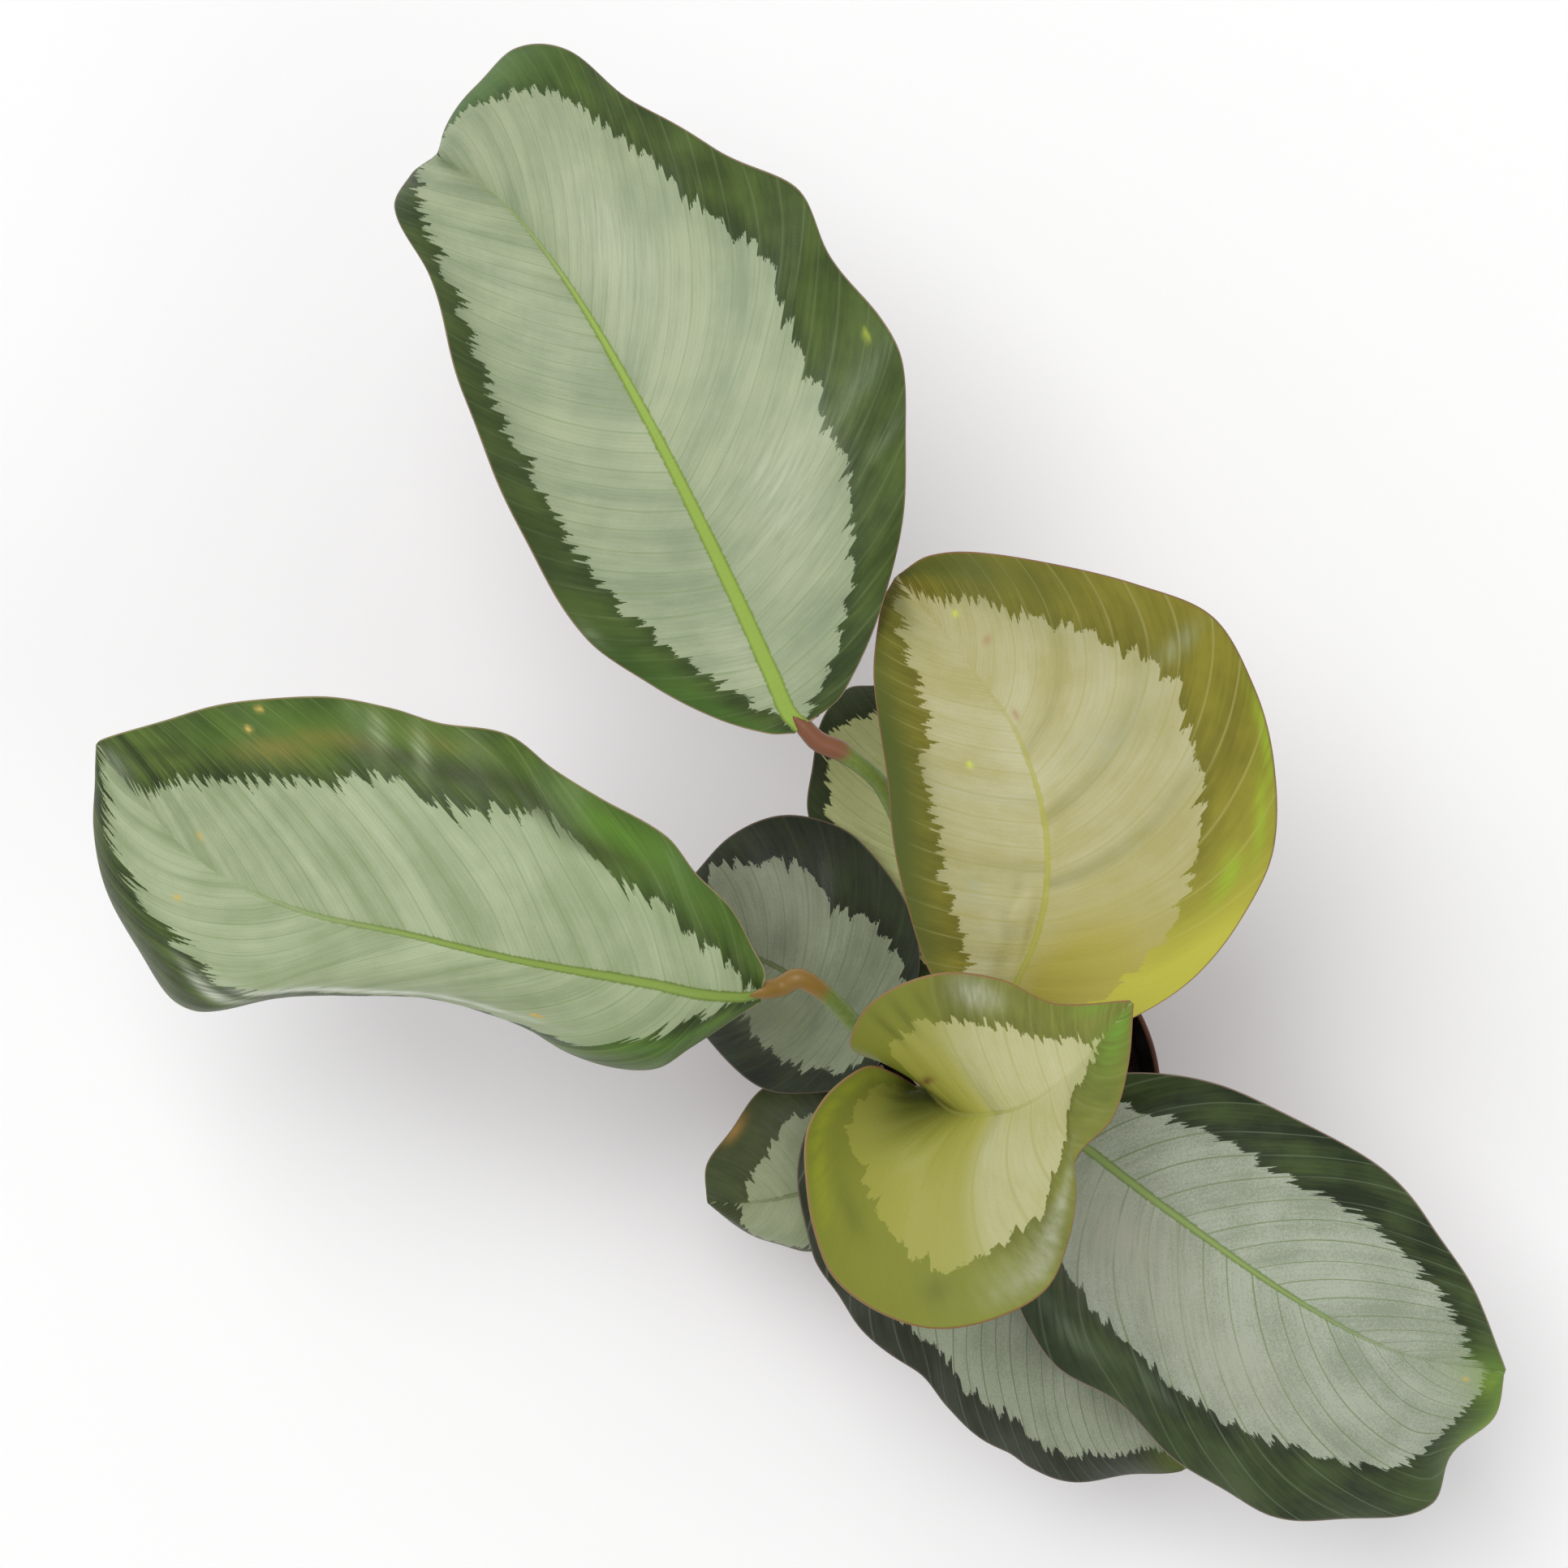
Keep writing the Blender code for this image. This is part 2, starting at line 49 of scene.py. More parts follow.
POT_SIDES = 160
BASE_RADIUS = 35.5
BASE_FLARE = 0.1
RIM_RADIUS = 50.0
RIM_DEPTH = 9.0
RIM_STEP = 1.8
RIM_TAPER = 0.3
RIM_LOW = POT_HEIGHT - RIM_DEPTH
RIM_SHOULDER = 3.0
RIM_BEND = 4.0
LIP_STEPS = 8
FOOT_HEIGHT = 3.0
FOOT_WIDTH = 6.0
FOOT_SLOPE = 1.5
PAD_RADIUS = 11.0
FLOOR_TOP = FOOT_HEIGHT + POT_WALL
FLOOR_FILLET = 2.0
ROUND = 0.6
HOLE_COUNT = 6
HOLE_RADIUS = 3.5
HOLE_CIRCLE = 21.0
HOLE_SIDES = 32
DRILL_LENGTH = 4.0
OUTER = 0
LINING = 1


def srgb(code):
    """A colour given as #rrggbb, as the linear values that a shader works with."""
    shares = [int(code[start:start + 2], 16) / 255.0 for start in (1, 3, 5)]
    linear = [share / 12.92 if share <= 0.04045 else ((share + 0.055) / 1.055) ** 2.4 for share in shares]
    return (*linear, 1.0)


def fill(node, inputs):
    """Gives a node's inputs, each by its name or number, a value or a link from another node."""
    for socket, value in inputs.items():
        if isinstance(value, bpy.types.NodeSocket):
            node.id_data.links.new(value, node.inputs[socket])
        else:
            node.inputs[socket].default_value = value


def add_node(material, kind, inputs, out=0, **settings):
    """Adds a node of one kind to a material, sets it up, fills its inputs, and returns one of its outputs."""
    node = material.node_tree.nodes.new("ShaderNode" + kind)
    for name, value in settings.items():
        setattr(node, name, value)
    fill(node, inputs)
    return node.outputs[out]


def new_material(name):
    """A new material, its shader, and the place on the object that its patterns go by."""
    material = bpy.data.materials.new(name)
    material.use_nodes = True
    place = add_node(material, "TexCoord", {}, "Object")
    return material, material.node_tree.nodes["Principled BSDF"], place


def add_object(name, shape):
    """A finished shape as an object in the scene."""
    mesh = bpy.data.meshes.new(name)
    shape.to_mesh(mesh)
    shape.free()
    thing = bpy.data.objects.new(name, mesh)
    bpy.context.scene.collection.objects.link(thing)
    return thing


def add_piece(name, shape, materials, slot, *replaced):
    """A finished shape as a piece of the plant, which rides with the pot that it stands in."""
    piece = add_object(name, shape)
    for material in materials:
        piece.data.materials.append(material)
    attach(piece, "root")
    if replaced:
        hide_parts(*replaced)
    return piece


def ring_of(shape, sides, radius, height_at):
    """A ring of corners about the pot's axis, as high as a function of x and y says."""
    ring = []
    for step in range(sides):
        angle = 2.0 * math.pi * step / sides
        x = radius * math.cos(angle)
        y = radius * math.sin(angle)
        ring.append(shape.verts.new((x * MM, y * MM, height_at(x, y) * MM)))
    return ring


def turn(profile, sides):
    """A closed profile of (radius, height, material number) points, turned about the pot's axis."""
    shape = bmesh.new()
    rings = []
    for radius, height, _ in profile:
        if radius == 0.0:
            rings.append([shape.verts.new((0.0, 0.0, height * MM))] * sides)
        else:
            rings.append(ring_of(shape, sides, radius, lambda x, y: height))
    for (_, _, number), near, far in zip(profile, rings, rings[1:]):
        for step in range(sides):
            after = (step + 1) % sides
            corners = dict.fromkeys((near[step], near[after], far[after], far[step]))
            face = shape.faces.new(list(corners))
            face.material_index = number
            face.smooth = True
    bmesh.ops.recalc_face_normals(shape, faces=shape.faces)
    return shape


def wall_radius(height):
    """The radius of the pot's tapered wall outside, at a height."""
    return BASE_RADIUS + (RIM_RADIUS - RIM_STEP - BASE_RADIUS) * height / RIM_LOW


# Polypropylene, injection moulded: a satin skin with a fine spark-eroded grain and a few faint scuffs
def pot_plastic(name, body, worn):
    plastic, shader, place = new_material(name)
    # Grain 0.4 mm across, and scuffs some 12 mm long
    grain = add_node(plastic, "TexNoise", {"Vector": place, "Scale": 2500.0, "Detail": 2.0})
    scuffs = add_node(plastic, "TexNoise", {"Vector": place, "Scale": 80.0, "Detail": 6.0, "Roughness": 0.7})
    mask = add_node(plastic, "MapRange", {"Value": scuffs, "From Min": 0.52, "From Max": 0.75})
    colour = add_node(plastic, "Mix", {0: mask, 6: srgb(body), 7: srgb(worn)}, 2, data_type="RGBA")
    rough = add_node(plastic, "MapRange", {"Value": scuffs, "To Min": 0.38, "To Max": 0.62})
    bump = add_node(plastic, "Bump", {"Height": grain, "Strength": 0.25, "Distance": 0.0001})
    fill(shader, {"Base Color": colour, "Roughness": rough, "Normal": bump, "IOR": 1.49})
    return plastic


# Inside and up to the lip, then over it, half a turn about the middle of the wall
pot_profile = [
    (0.0, FLOOR_TOP, LINING),
    (wall_radius(FLOOR_TOP) - POT_WALL - FLOOR_FILLET, FLOOR_TOP, LINING),
    (wall_radius(FLOOR_TOP) - POT_WALL, FLOOR_TOP + FLOOR_FILLET, LINING),
    (wall_radius(RIM_LOW) - POT_WALL, RIM_LOW, LINING),
    (RIM_RADIUS - POT_WALL - ROUND, RIM_LOW + RIM_SHOULDER, LINING),
    (RIM_RADIUS - POT_WALL, POT_HEIGHT - ROUND, LINING),
]
for step in range(LIP_STEPS + 1):
    angle = math.pi * (1.0 - step / LIP_STEPS)
    pot_profile.append((RIM_RADIUS - POT_WALL / 2.0 + POT_WALL / 2.0 * math.cos(angle),
                        POT_HEIGHT - ROUND + ROUND * math.sin(angle), LINING if step < 2 else OUTER))
# Down the outside of the rim, and in under it to the wall
pot_profile += [
    (RIM_RADIUS, POT_HEIGHT - RIM_BEND, OUTER),
    (RIM_RADIUS - RIM_TAPER, RIM_LOW + ROUND, OUTER),
    (RIM_RADIUS - ROUND, RIM_LOW, OUTER),
    (wall_radius(RIM_LOW) + 0.4, RIM_LOW, OUTER),
    (wall_radius(RIM_LOW), RIM_LOW - ROUND, OUTER),
]
# Two shallow grooves run round the wall, each 0.35 mm deep and 2 mm high
for middle in (58.0, 20.0):
    pot_profile += [
        (wall_radius(middle + 1.0), middle + 1.0, OUTER),
        (wall_radius(middle) - 0.35, middle + 0.4, OUTER),
        (wall_radius(middle) - 0.35, middle - 0.4, OUTER),
        (wall_radius(middle - 1.0), middle - 1.0, OUTER),
    ]
# The foot ring, the hollow inside it, and the pad in the middle
pot_profile += [
    (BASE_RADIUS + BASE_FLARE, ROUND, OUTER),
    (BASE_RADIUS - ROUND, 0.0, OUTER),
    (BASE_RADIUS - FOOT_WIDTH, 0.0, OUTER),
    (BASE_RADIUS - FOOT_WIDTH - FOOT_SLOPE, FOOT_HEIGHT, OUTER),
    (PAD_RADIUS + FOOT_SLOPE, FOOT_HEIGHT, OUTER),
    (PAD_RADIUS, 0.0, OUTER),
    (0.0, 0.0, OUTER),
]
pot = add_piece("pot_shell", turn(pot_profile, POT_SIDES),
                [pot_plastic("polypropylene_chestnut", "#5d3423", "#7a4a33"),
                 pot_plastic("polypropylene_black", "#121214", "#232326")], "pot_plastic", "pot")
drills = bmesh.new()
for index in range(HOLE_COUNT):
    angle = 2.0 * math.pi * index / HOLE_COUNT
    hole = bmesh.ops.create_cone(drills, cap_ends=True, segments=HOLE_SIDES, radius1=HOLE_RADIUS * MM,
                                 radius2=HOLE_RADIUS * MM, depth=DRILL_LENGTH * MM)
    bmesh.ops.translate(drills, verts=hole["verts"],
                        vec=(HOLE_CIRCLE * math.cos(angle) * MM, HOLE_CIRCLE * math.sin(angle) * MM,
                             (FOOT_HEIGHT + FLOOR_TOP) / 2.0 * MM))
drill = add_object("drills", drills)
cut = pot.modifiers.new("drain_holes", "BOOLEAN")
cut.operation = "DIFFERENCE"
cut.solver = "EXACT"
cut.object = drill
bpy.context.view_layer.update()
cut_mesh = bpy.data.meshes.new_from_object(pot.evaluated_get(bpy.context.evaluated_depsgraph_get()))
pot.modifiers.clear()
pot.data = cut_mesh
bpy.data.objects.remove(drill)
pot.data.set_sharp_from_angle(angle=math.radians(40.0))

# The potting mix
# Peat with bark chips and white perlite, poured in and watered down to about 14 mm under the rim.
# Its crust is crumbly and nearly black when moist, with the odd dry brown patch.
SOIL_TOP = 76.0
SOIL_CROWN = 1.5
SOIL_CLEARANCE = 0.3
SOIL_EDGE = wall_radius(SOIL_TOP) - POT_WALL - SOIL_CLEARANCE
PLUG_RADIUS = wall_radius(FLOOR_TOP + FLOOR_FILLET) - POT_WALL - 0.4
CRUST_RINGS = 64
CRUST_SIDES = 200
CRUST_LUMPS = ((3.0, 0.11, 1.6), (9.0, 0.45, 0.9), (5.0, 1.4, 0.45))
CRUMB_MARGIN = 2.5
CRUMB_DENT = 0.35
CRUMB_DENTS = 2.2
CRUMB_RISE = 0.15


def soil_height(x, y):
    """How high the crust lies at a place. Its lumps are (layer of noise, how many to a mm, height)."""
    share = math.hypot(x, y) / SOIL_EDGE
    lumps = sum(noise.noise(Vector((x, y, layer)) * dense) * height for layer, dense, height in CRUST_LUMPS)
    sunk = 1.4 * max(0.0, share - 0.9) * 10.0
    return SOIL_TOP + SOIL_CROWN * (1.0 - share * share) + lumps * 0.8 - 0.6 - sunk * 0.6


# Moist peat: matt, nearly black, with fibres and crumbs about 0.6 mm across
def peat():
    mix, shader, place = new_material("moist_peat")
    patches = add_node(mix, "TexNoise", {"Vector": place, "Scale": 160.0, "Detail": 5.0})
    crumbs = add_node(mix, "TexVoronoi", {"Vector": place, "Scale": 1600.0})
    shade = add_node(mix, "ValToRGB", {0: patches})
    for stop, position, code in zip(shade.node.color_ramp.elements, (0.35, 0.75), ("#17100b", "#4a3423")):
        stop.position = position
        stop.color = srgb(code)
    flecks = add_node(mix, "MapRange", {"Value": crumbs, "From Max": 0.6, "To Min": 0.0, "To Max": 0.5})
    colour = add_node(mix, "Mix", {0: flecks, 6: shade, 7: srgb("#2c1e14")}, 2, data_type="RGBA")
    bump = add_node(mix, "Bump", {"Height": crumbs, "Strength": 0.9, "Distance": 0.0004})
    fill(shader, {"Base Color": colour, "Normal": bump, "Roughness": 0.93})
    return mix


# Expanded perlite: chalk white and pitted, and bark chips: brown, rough and layered
def crumb_material(name, pale, dark, pore_mm):
    stuff, shader, place = new_material(name)
    pores = add_node(stuff, "TexVoronoi", {"Vector": place, "Scale": 1000.0 / pore_mm})
    colour = add_node(stuff, "Mix", {0: pores, 6: srgb(dark), 7: srgb(pale)}, 2, data_type="RGBA")
    bump = add_node(stuff, "Bump", {"Height": pores, "Strength": 0.6, "Distance": 0.0002})
    fill(shader, {"Base Color": colour, "Normal": bump, "Roughness": 0.9})
    return stuff


def scatter(name, count, sizes, shares, material, seed):
    """Small lumps strewn on the crust, each a rumpled ball half sunk in, all in one piece."""
    draw = random.Random(seed)
    shape = bmesh.new()
    for _ in range(count):
        radius = (SOIL_EDGE - CRUMB_MARGIN) * math.sqrt(draw.random())
        angle = 2.0 * math.pi * draw.random()
        x = radius * math.cos(angle)
        y = radius * math.sin(angle)
        size = draw.uniform(*sizes)
        lump = bmesh.ops.create_icosphere(shape, subdivisions=2, radius=size / 2.0 * MM)["verts"]
        turned = draw.uniform(0.0, math.pi)
        shift = draw.uniform(0.0, 50.0)
        for vertex in lump:
            spot = vertex.co / MM
            place = spot / size * CRUMB_DENTS + Vector((shift, 0.0, 0.0))
            dent = 1.0 + CRUMB_DENT * noise.noise(place)
            spot = Vector([part * share for part, share in zip(spot, shares)]) * dent
            vertex.co = Vector((x + (spot.x * math.cos(turned) - spot.y * math.sin(turned)),
                                y + (spot.x * math.sin(turned) + spot.y * math.cos(turned)),
                                soil_height(x, y) + CRUMB_RISE * size + spot.z)) * MM
    for face in shape.faces:
        face.smooth = True
    add_piece(name, shape, [material], "potting_mix")


# The crust runs in rings from the middle out, and the plug of mix under it closes it
crust = bmesh.new()
crown = crust.verts.new((0.0, 0.0, soil_height(0.0, 0.0) * MM))
crust_rings = [ring_of(crust, CRUST_SIDES, SOIL_EDGE * ring / CRUST_RINGS, soil_height)
               for ring in range(1, CRUST_RINGS + 1)]
crust_rings.append(ring_of(crust, CRUST_SIDES, PLUG_RADIUS, lambda x, y: FLOOR_TOP + SOIL_CLEARANCE))
for step in range(CRUST_SIDES):
    after = (step + 1) % CRUST_SIDES
    crust.faces.new((crown, crust_rings[0][step], crust_rings[0][after])).smooth = True
    for near, far in zip(crust_rings, crust_rings[1:]):
        crust.faces.new((near[step], far[step], far[after], near[after])).smooth = True
crust.faces.new(list(reversed(crust_rings[-1])))
bmesh.ops.recalc_face_normals(crust, faces=crust.faces)
add_piece("potting_mix", crust, [peat()], "potting_mix", "soil")
scatter("perlite", 120, (1.2, 3.4), (1.0, 0.85, 0.75),
        crumb_material("expanded_perlite", "#e9e5da", "#b9b2a2", 0.5), 7)
scatter("bark_chips", 150, (2.5, 7.0), (1.0, 0.5, 0.22),
        crumb_material("pine_bark", "#5b3a22", "#24160d", 0.9), 11)

# What all nine leaves share
# A leaf is one stalk, a joint at its top, and one blade with a midrib and arching side veins.
# The blade is a sheet between the midrib and its two margins. Along runs from its base to its tip,
# and across from the midrib to a margin. Left is the left-hand side, seen from above and facing the tip.
BLADE_THICKNESS = 0.9
RIB_THICKNESS = 2.4
BASE_HALF_WIDTH = 3.0
RIB_HALF_WIDTH = 3.0
TIP_HALF_WIDTH = 0.8
SURFACE_LEAD = 1.35
VEIN_SWEEP = 0.12
ARCH_START = 0.08
SPECK_RADIUS = 0.8
# Rows crowd toward the base and columns toward the margin
ROW_CROWDING = 1.15
COLUMN_CROWDING = 0.95
# Where the blade is narrower than this it has no relief, and this near its margin it thins to a share
NARROW = 4.0
EDGE_TAPER = 2.5
EDGE_SHARE = 0.45
PILLOW_START = 6.0
FINE_PILLOWS = 4.0
FINE_SHARE = 0.2
CHANNEL_DEPTH = 0.3


def ease(share):
    """A share from 0 to 1, turned into one that starts and ends gently."""
    return share * share * (3.0 - 2.0 * share)


def curve_through(points, place):
    """The point at a share of the way along a smooth curve through the given points."""
    lengths = [0.0]
    for start, end in zip(points, points[1:]):
        lengths.append(lengths[-1] + (end - start).length)
    target = place * lengths[-1]
    index = 0
    while index < len(points) - 2 and lengths[index + 1] < target:
        index += 1
    span = lengths[index + 1] - lengths[index]
    part = (target - lengths[index]) / span
    before = points[max(index - 1, 0)]
    after = points[min(index + 2, len(points) - 1)]
    start = points[index]
    end = points[index + 1]
    before_span = max((start - before).length, span * 0.5) if index > 0 else span
    after_span = max((after - end).length, span * 0.5) if index < len(points) - 2 else span
    leave = (end - before) * (span / (span + before_span)) if index > 0 else end - start
    arrive = (after - start) * (span / (span + after_span)) if index < len(points) - 2 else end - start
    square = part * part
    cube = square * part
    return (start * (2 * cube - 3 * square + 1) + leave * (cube - 2 * square + part)
            + end * (3 * square - 2 * cube) + arrive * (cube - square))


def three_way(values, place):
    """A value that runs from the first through the second to the third."""
    first, middle, last = values
    if place < 0.5:
        return first + (middle - first) * place * 2.0
    return middle + (last - middle) * (place * 2.0 - 1.0)


def even_steps(values, place):
    """A value read smoothly from a list that is spread evenly from base to tip."""
    spot = min(max(place, 0.0), 1.0) * (len(values) - 1)
    index = min(int(spot), len(values) - 2)
    part = spot - index
    part = ease(part) * 0.5 + part * 0.5
    return values[index] + (values[index + 1] - values[index]) * part


class Blade:
    """The surface of one blade, as the point at a place along and across it."""

    def __init__(self, leaf):
        self.leaf = leaf
        self.midrib = [Vector(point) for point in leaf["midrib"]]
        self.length = sum((end - start).length for start, end in zip(self.midrib, self.midrib[1:]))
        self.heading = (self.midrib[1] - self.midrib[0]).normalized()
        tip_heading = (self.midrib[-1] - self.midrib[-2]).normalized()
        base_across = self.between_margins(0, self.heading)
        self.under = base_across.cross(self.heading)
        tip_across = self.between_margins(-1, tip_heading)
        self.margins = {}
        for side, sign in (("left", 1.0), ("right", -1.0)):
            first = self.midrib[0] + base_across * sign * BASE_HALF_WIDTH
            last = self.midrib[-1] + tip_across * sign * TIP_HALF_WIDTH
            self.margins[side] = [first] + [Vector(point) for point in leaf[side]] + [last]

    def between_margins(self, end, heading):
        """The way from right to left margin at one end of the blade, square to the midrib there."""
        across = Vector(self.leaf["left"][end]) - Vector(self.leaf["right"][end])
        return (across - heading * across.dot(heading)).normalized()

    def edge_place(self, along):
        """How far along its margin a line across the blade ends. The margin leads the midrib."""
        start, lead = self.leaf.get("fan", (1.0, SURFACE_LEAD))
        return 1.0 - (1.0 - along ** start) ** lead

    def row(self, side, along):
        """What every point of one line across the blade needs, worked out once."""
        edge_place = self.edge_place(along)
        centre = curve_through(self.midrib, along)
        edge = curve_through(self.margins[side], edge_place)
        chord = edge - centre
        width = chord.length
        direction = chord / width
        up = Vector(self.leaf.get(side + "_up", (0.0, 0.0, 1.0)))
        normal = (up - direction * up.dot(direction)).normalized()
        forward = normal.cross(direction) * (1.0 if side == "right" else -1.0)
        arch = three_way(self.leaf[side + "_arch"], along) * min(along / ARCH_START, 1.0)
        fade = math.sin(math.pi * along)
        control = (centre + chord * 0.5 + normal * arch * width * 2.0 ** 0.5
                   - forward * VEIN_SWEEP * fade * width)
        height, waves, phase = self.leaf[side + "_ruffle"]
        ruffle = height * fade ** 0.5 * math.sin(2.0 * math.pi * (waves * edge_place + phase))
        return centre, control, edge, normal, ruffle, width

    def vein_at(self, side, along, across):
        """Which side vein passes a place, as the share along the midrib where that vein starts."""
        start, lead = self.leaf[side + "_veins"]
        outer = 1.0 - (1.0 - self.edge_place(along)) ** (1.0 / lead)
        outer = max(outer, 0.0) ** (1.0 / start)
        return along + (outer - along) * across


def lift(leaf, vein, across, width, rib_half):
    """How far the skin stands above the plain sheet: pillows between veins, and the midrib's channel."""
    between = abs(math.sin(math.pi * vein / leaf["vein_step"]))
    fine = abs(math.sin(math.pi * vein * FINE_PILLOWS / leaf["vein_step"]))
    inside = min(across * width / PILLOW_START, 1.0) * (1.0 - across ** 4)
    pillow = leaf["pillow"] * (between ** 0.7 - 0.6) * inside + leaf["pillow"] * FINE_SHARE * fine * inside
    gap = across * width / rib_half
    return pillow - CHANNEL_DEPTH * math.exp(-gap * gap) * min(rib_half, 1.0)


def crease_depth(creases, side, vein, across):
    """How deep a place lies in the creases along side veins, each (side, vein, depth, reach)."""
    depth = 0.0
    for crease_side, crease_vein, deepest, reach in creases:
        if crease_side in (side, "both"):
            away = (vein - crease_vein) / reach
            depth += deepest * math.exp(-away * away) * (1.0 - across)
    return depth


def older_part(bound, place):
    """How yellow a new leaf's older part is, up to one side vein: (vein, soft edge, amount)."""
    vein, soft, amount = bound
    return amount * ease(min(max(0.5 - (place - vein) / (2.0 * soft), 0.0), 1.0))


def patch_amount(patches, along, across):
    """How strong soft round patches of (along, across, reach along, reach across, amount) are at a place."""
    total = 0.0
    for centre, side_share, long_reach, wide_reach, amount in patches:
        distance = ((along - centre) / long_reach) ** 2 + ((across - side_share) / wide_reach) ** 2
        total += amount * math.exp(-distance)
    return total


def make_blade(key, leaf, materials):
    """A fine sheet with its veins and midrib raised, given its thickness and what its colours go by."""
    blade = Blade(leaf)
    stations, columns = leaf["mesh"]
    sheet = bmesh.new()
    thickness_layer = sheet.verts.layers.deform.verify()
    creases = leaf.get("creases", ())
    tints = leaf.get("tints", ())
    values = {}
    rows = []
    for row in range(stations + 1):
        along = (row / stations) ** ROW_CROWDING
        rib_half = leaf["rib_width"] / 2.0 * max(1.0 - along, 0.02) ** 0.8
        sides = {side: blade.row(side, along) for side in ("left", "right")}
        line = []
        for column in range(-columns, columns + 1):
            side = "left" if column < 0 else "right"
            centre, control, edge, normal, ruffle, width = sides[side]
            across = (abs(column) / columns) ** COLUMN_CROWDING
            keep = 1.0 - across
            spot = centre * keep * keep + control * 2.0 * keep * across + edge * across * across
            spot = spot + normal * ruffle * across ** 3
            vein = blade.vein_at(side, along, across) * blade.length
            away = (spot - centre).length
            signed = across if side == "right" else -across
            raised = normal if column else (sides["left"][3] + sides["right"][3]).normalized()
            crease = crease_depth(creases, side, vein, across)
            if width > NARROW:
                height = lift(leaf, vein, across, width, max(rib_half, 0.3)) - crease
                spot = spot + raised * (height + patch_amount(leaf.get("puckers", ()), along, signed))
            vertex = sheet.verts.new(spot * MM)
            line.append(vertex)
            grown = min(0.3 + along * 9.0, 1.0) * (1.0 - along)
            keel = math.cos(math.pi / 2.0 * min(away / RIB_HALF_WIDTH, 1.0))
            thickness = BLADE_THICKNESS + (RIB_THICKNESS - BLADE_THICKNESS) * grown * keel
            edge_gap = (edge - spot).length
            thickness *= EDGE_SHARE + (1.0 - EDGE_SHARE) * min(edge_gap / EDGE_TAPER, 1.0)
            vertex[thickness_layer][0] = thickness / RIB_THICKNESS
            specks = [(place, share, SPECK_RADIUS / blade.length, SPECK_RADIUS / width, 1.3)
                      for place, share in leaf.get("specks", ())]
            # What the colours go by: distances in millimetres, places, and how strong each patch is
            marks = {
                "vein": vein,
                "silver": (even_steps(leaf[side + "_silver"], along) - across) * width,
                "edge_gap": min(edge_gap, (1.0 - across) * width),
                "rib_gap": away - rib_half,
                "along": along,
                "across": signed,
                # The leaf's own yellowing, and painted glow where light shines through the thin blade
                "glow": patch_amount(leaf.get("glow", ()), along, signed)
                        + older_part(leaf.get("older", (0.0, 1.0, 0.0)), vein),
                # Painted shade in throats, under curled margins and along creases, with a few dark marks of
                # the leaf's own
                "gloom": patch_amount(leaf.get("gloom", ()), along, signed)
                         + leaf.get("crease_ink", 0.0) * crease,
                "speck": patch_amount(specks, along, signed),
            }
            for number, (_, patches) in enumerate(tints):
                marks["tint_%d" % number] = patch_amount(patches, along, signed)
            for name, mark in marks.items():
                values.setdefault(name, []).append(mark)
        rows.append(line)
    for near, far in zip(rows, rows[1:]):
        for column in range(2 * columns):
            sheet.faces.new((near[column], near[column + 1], far[column + 1], far[column])).smooth = True
    piece = add_piece("blade_" + key + "_skin", sheet, materials, leaf["slot"], "blade_" + key)
    for name, numbers in values.items():
        piece.data.attributes.new(name, "FLOAT", "POINT").data.foreach_set("value", numbers)
    piece.vertex_groups.new(name="thickness")
    shell = piece.modifiers.new("thickness", "SOLIDIFY")
    shell.thickness = RIB_THICKNESS * MM
    shell.offset = -1.0
    shell.vertex_group = "thickness"
    shell.material_offset = 1
    shell.material_offset_rim = 2
    return blade


# The upper skin: a satin cuticle over green cells, silvered in the middle by a thin layer of air under
# the skin. The silver ends in brush-like points that run out along the side veins.
SMOOTH = {"interpolation_type": "SMOOTHSTEP"}
PLACES = ("vein", "silver", "edge_gap", "rib_gap", "along", "across")
# Where the silver starts far out at one vein and falls back to the next: (mm apart, depth, wander)
SILVER_STEPS = ((4.0, 3.4, 3.0), (1.3, 0.8, 5.0))
SILVER_LEAD = 3.9
# How far the noise is squeezed outward, for long strokes and short flecks, and what keeps halves apart
SQUEEZES = (0.12, 0.45)
HALVES_APART = 40.0


def darker(code, share):
    """A share of the light of a colour given as #rrggbb."""
    red, green, blue, alpha = srgb(code)
    return (red * share, green * share, blue * share, alpha)


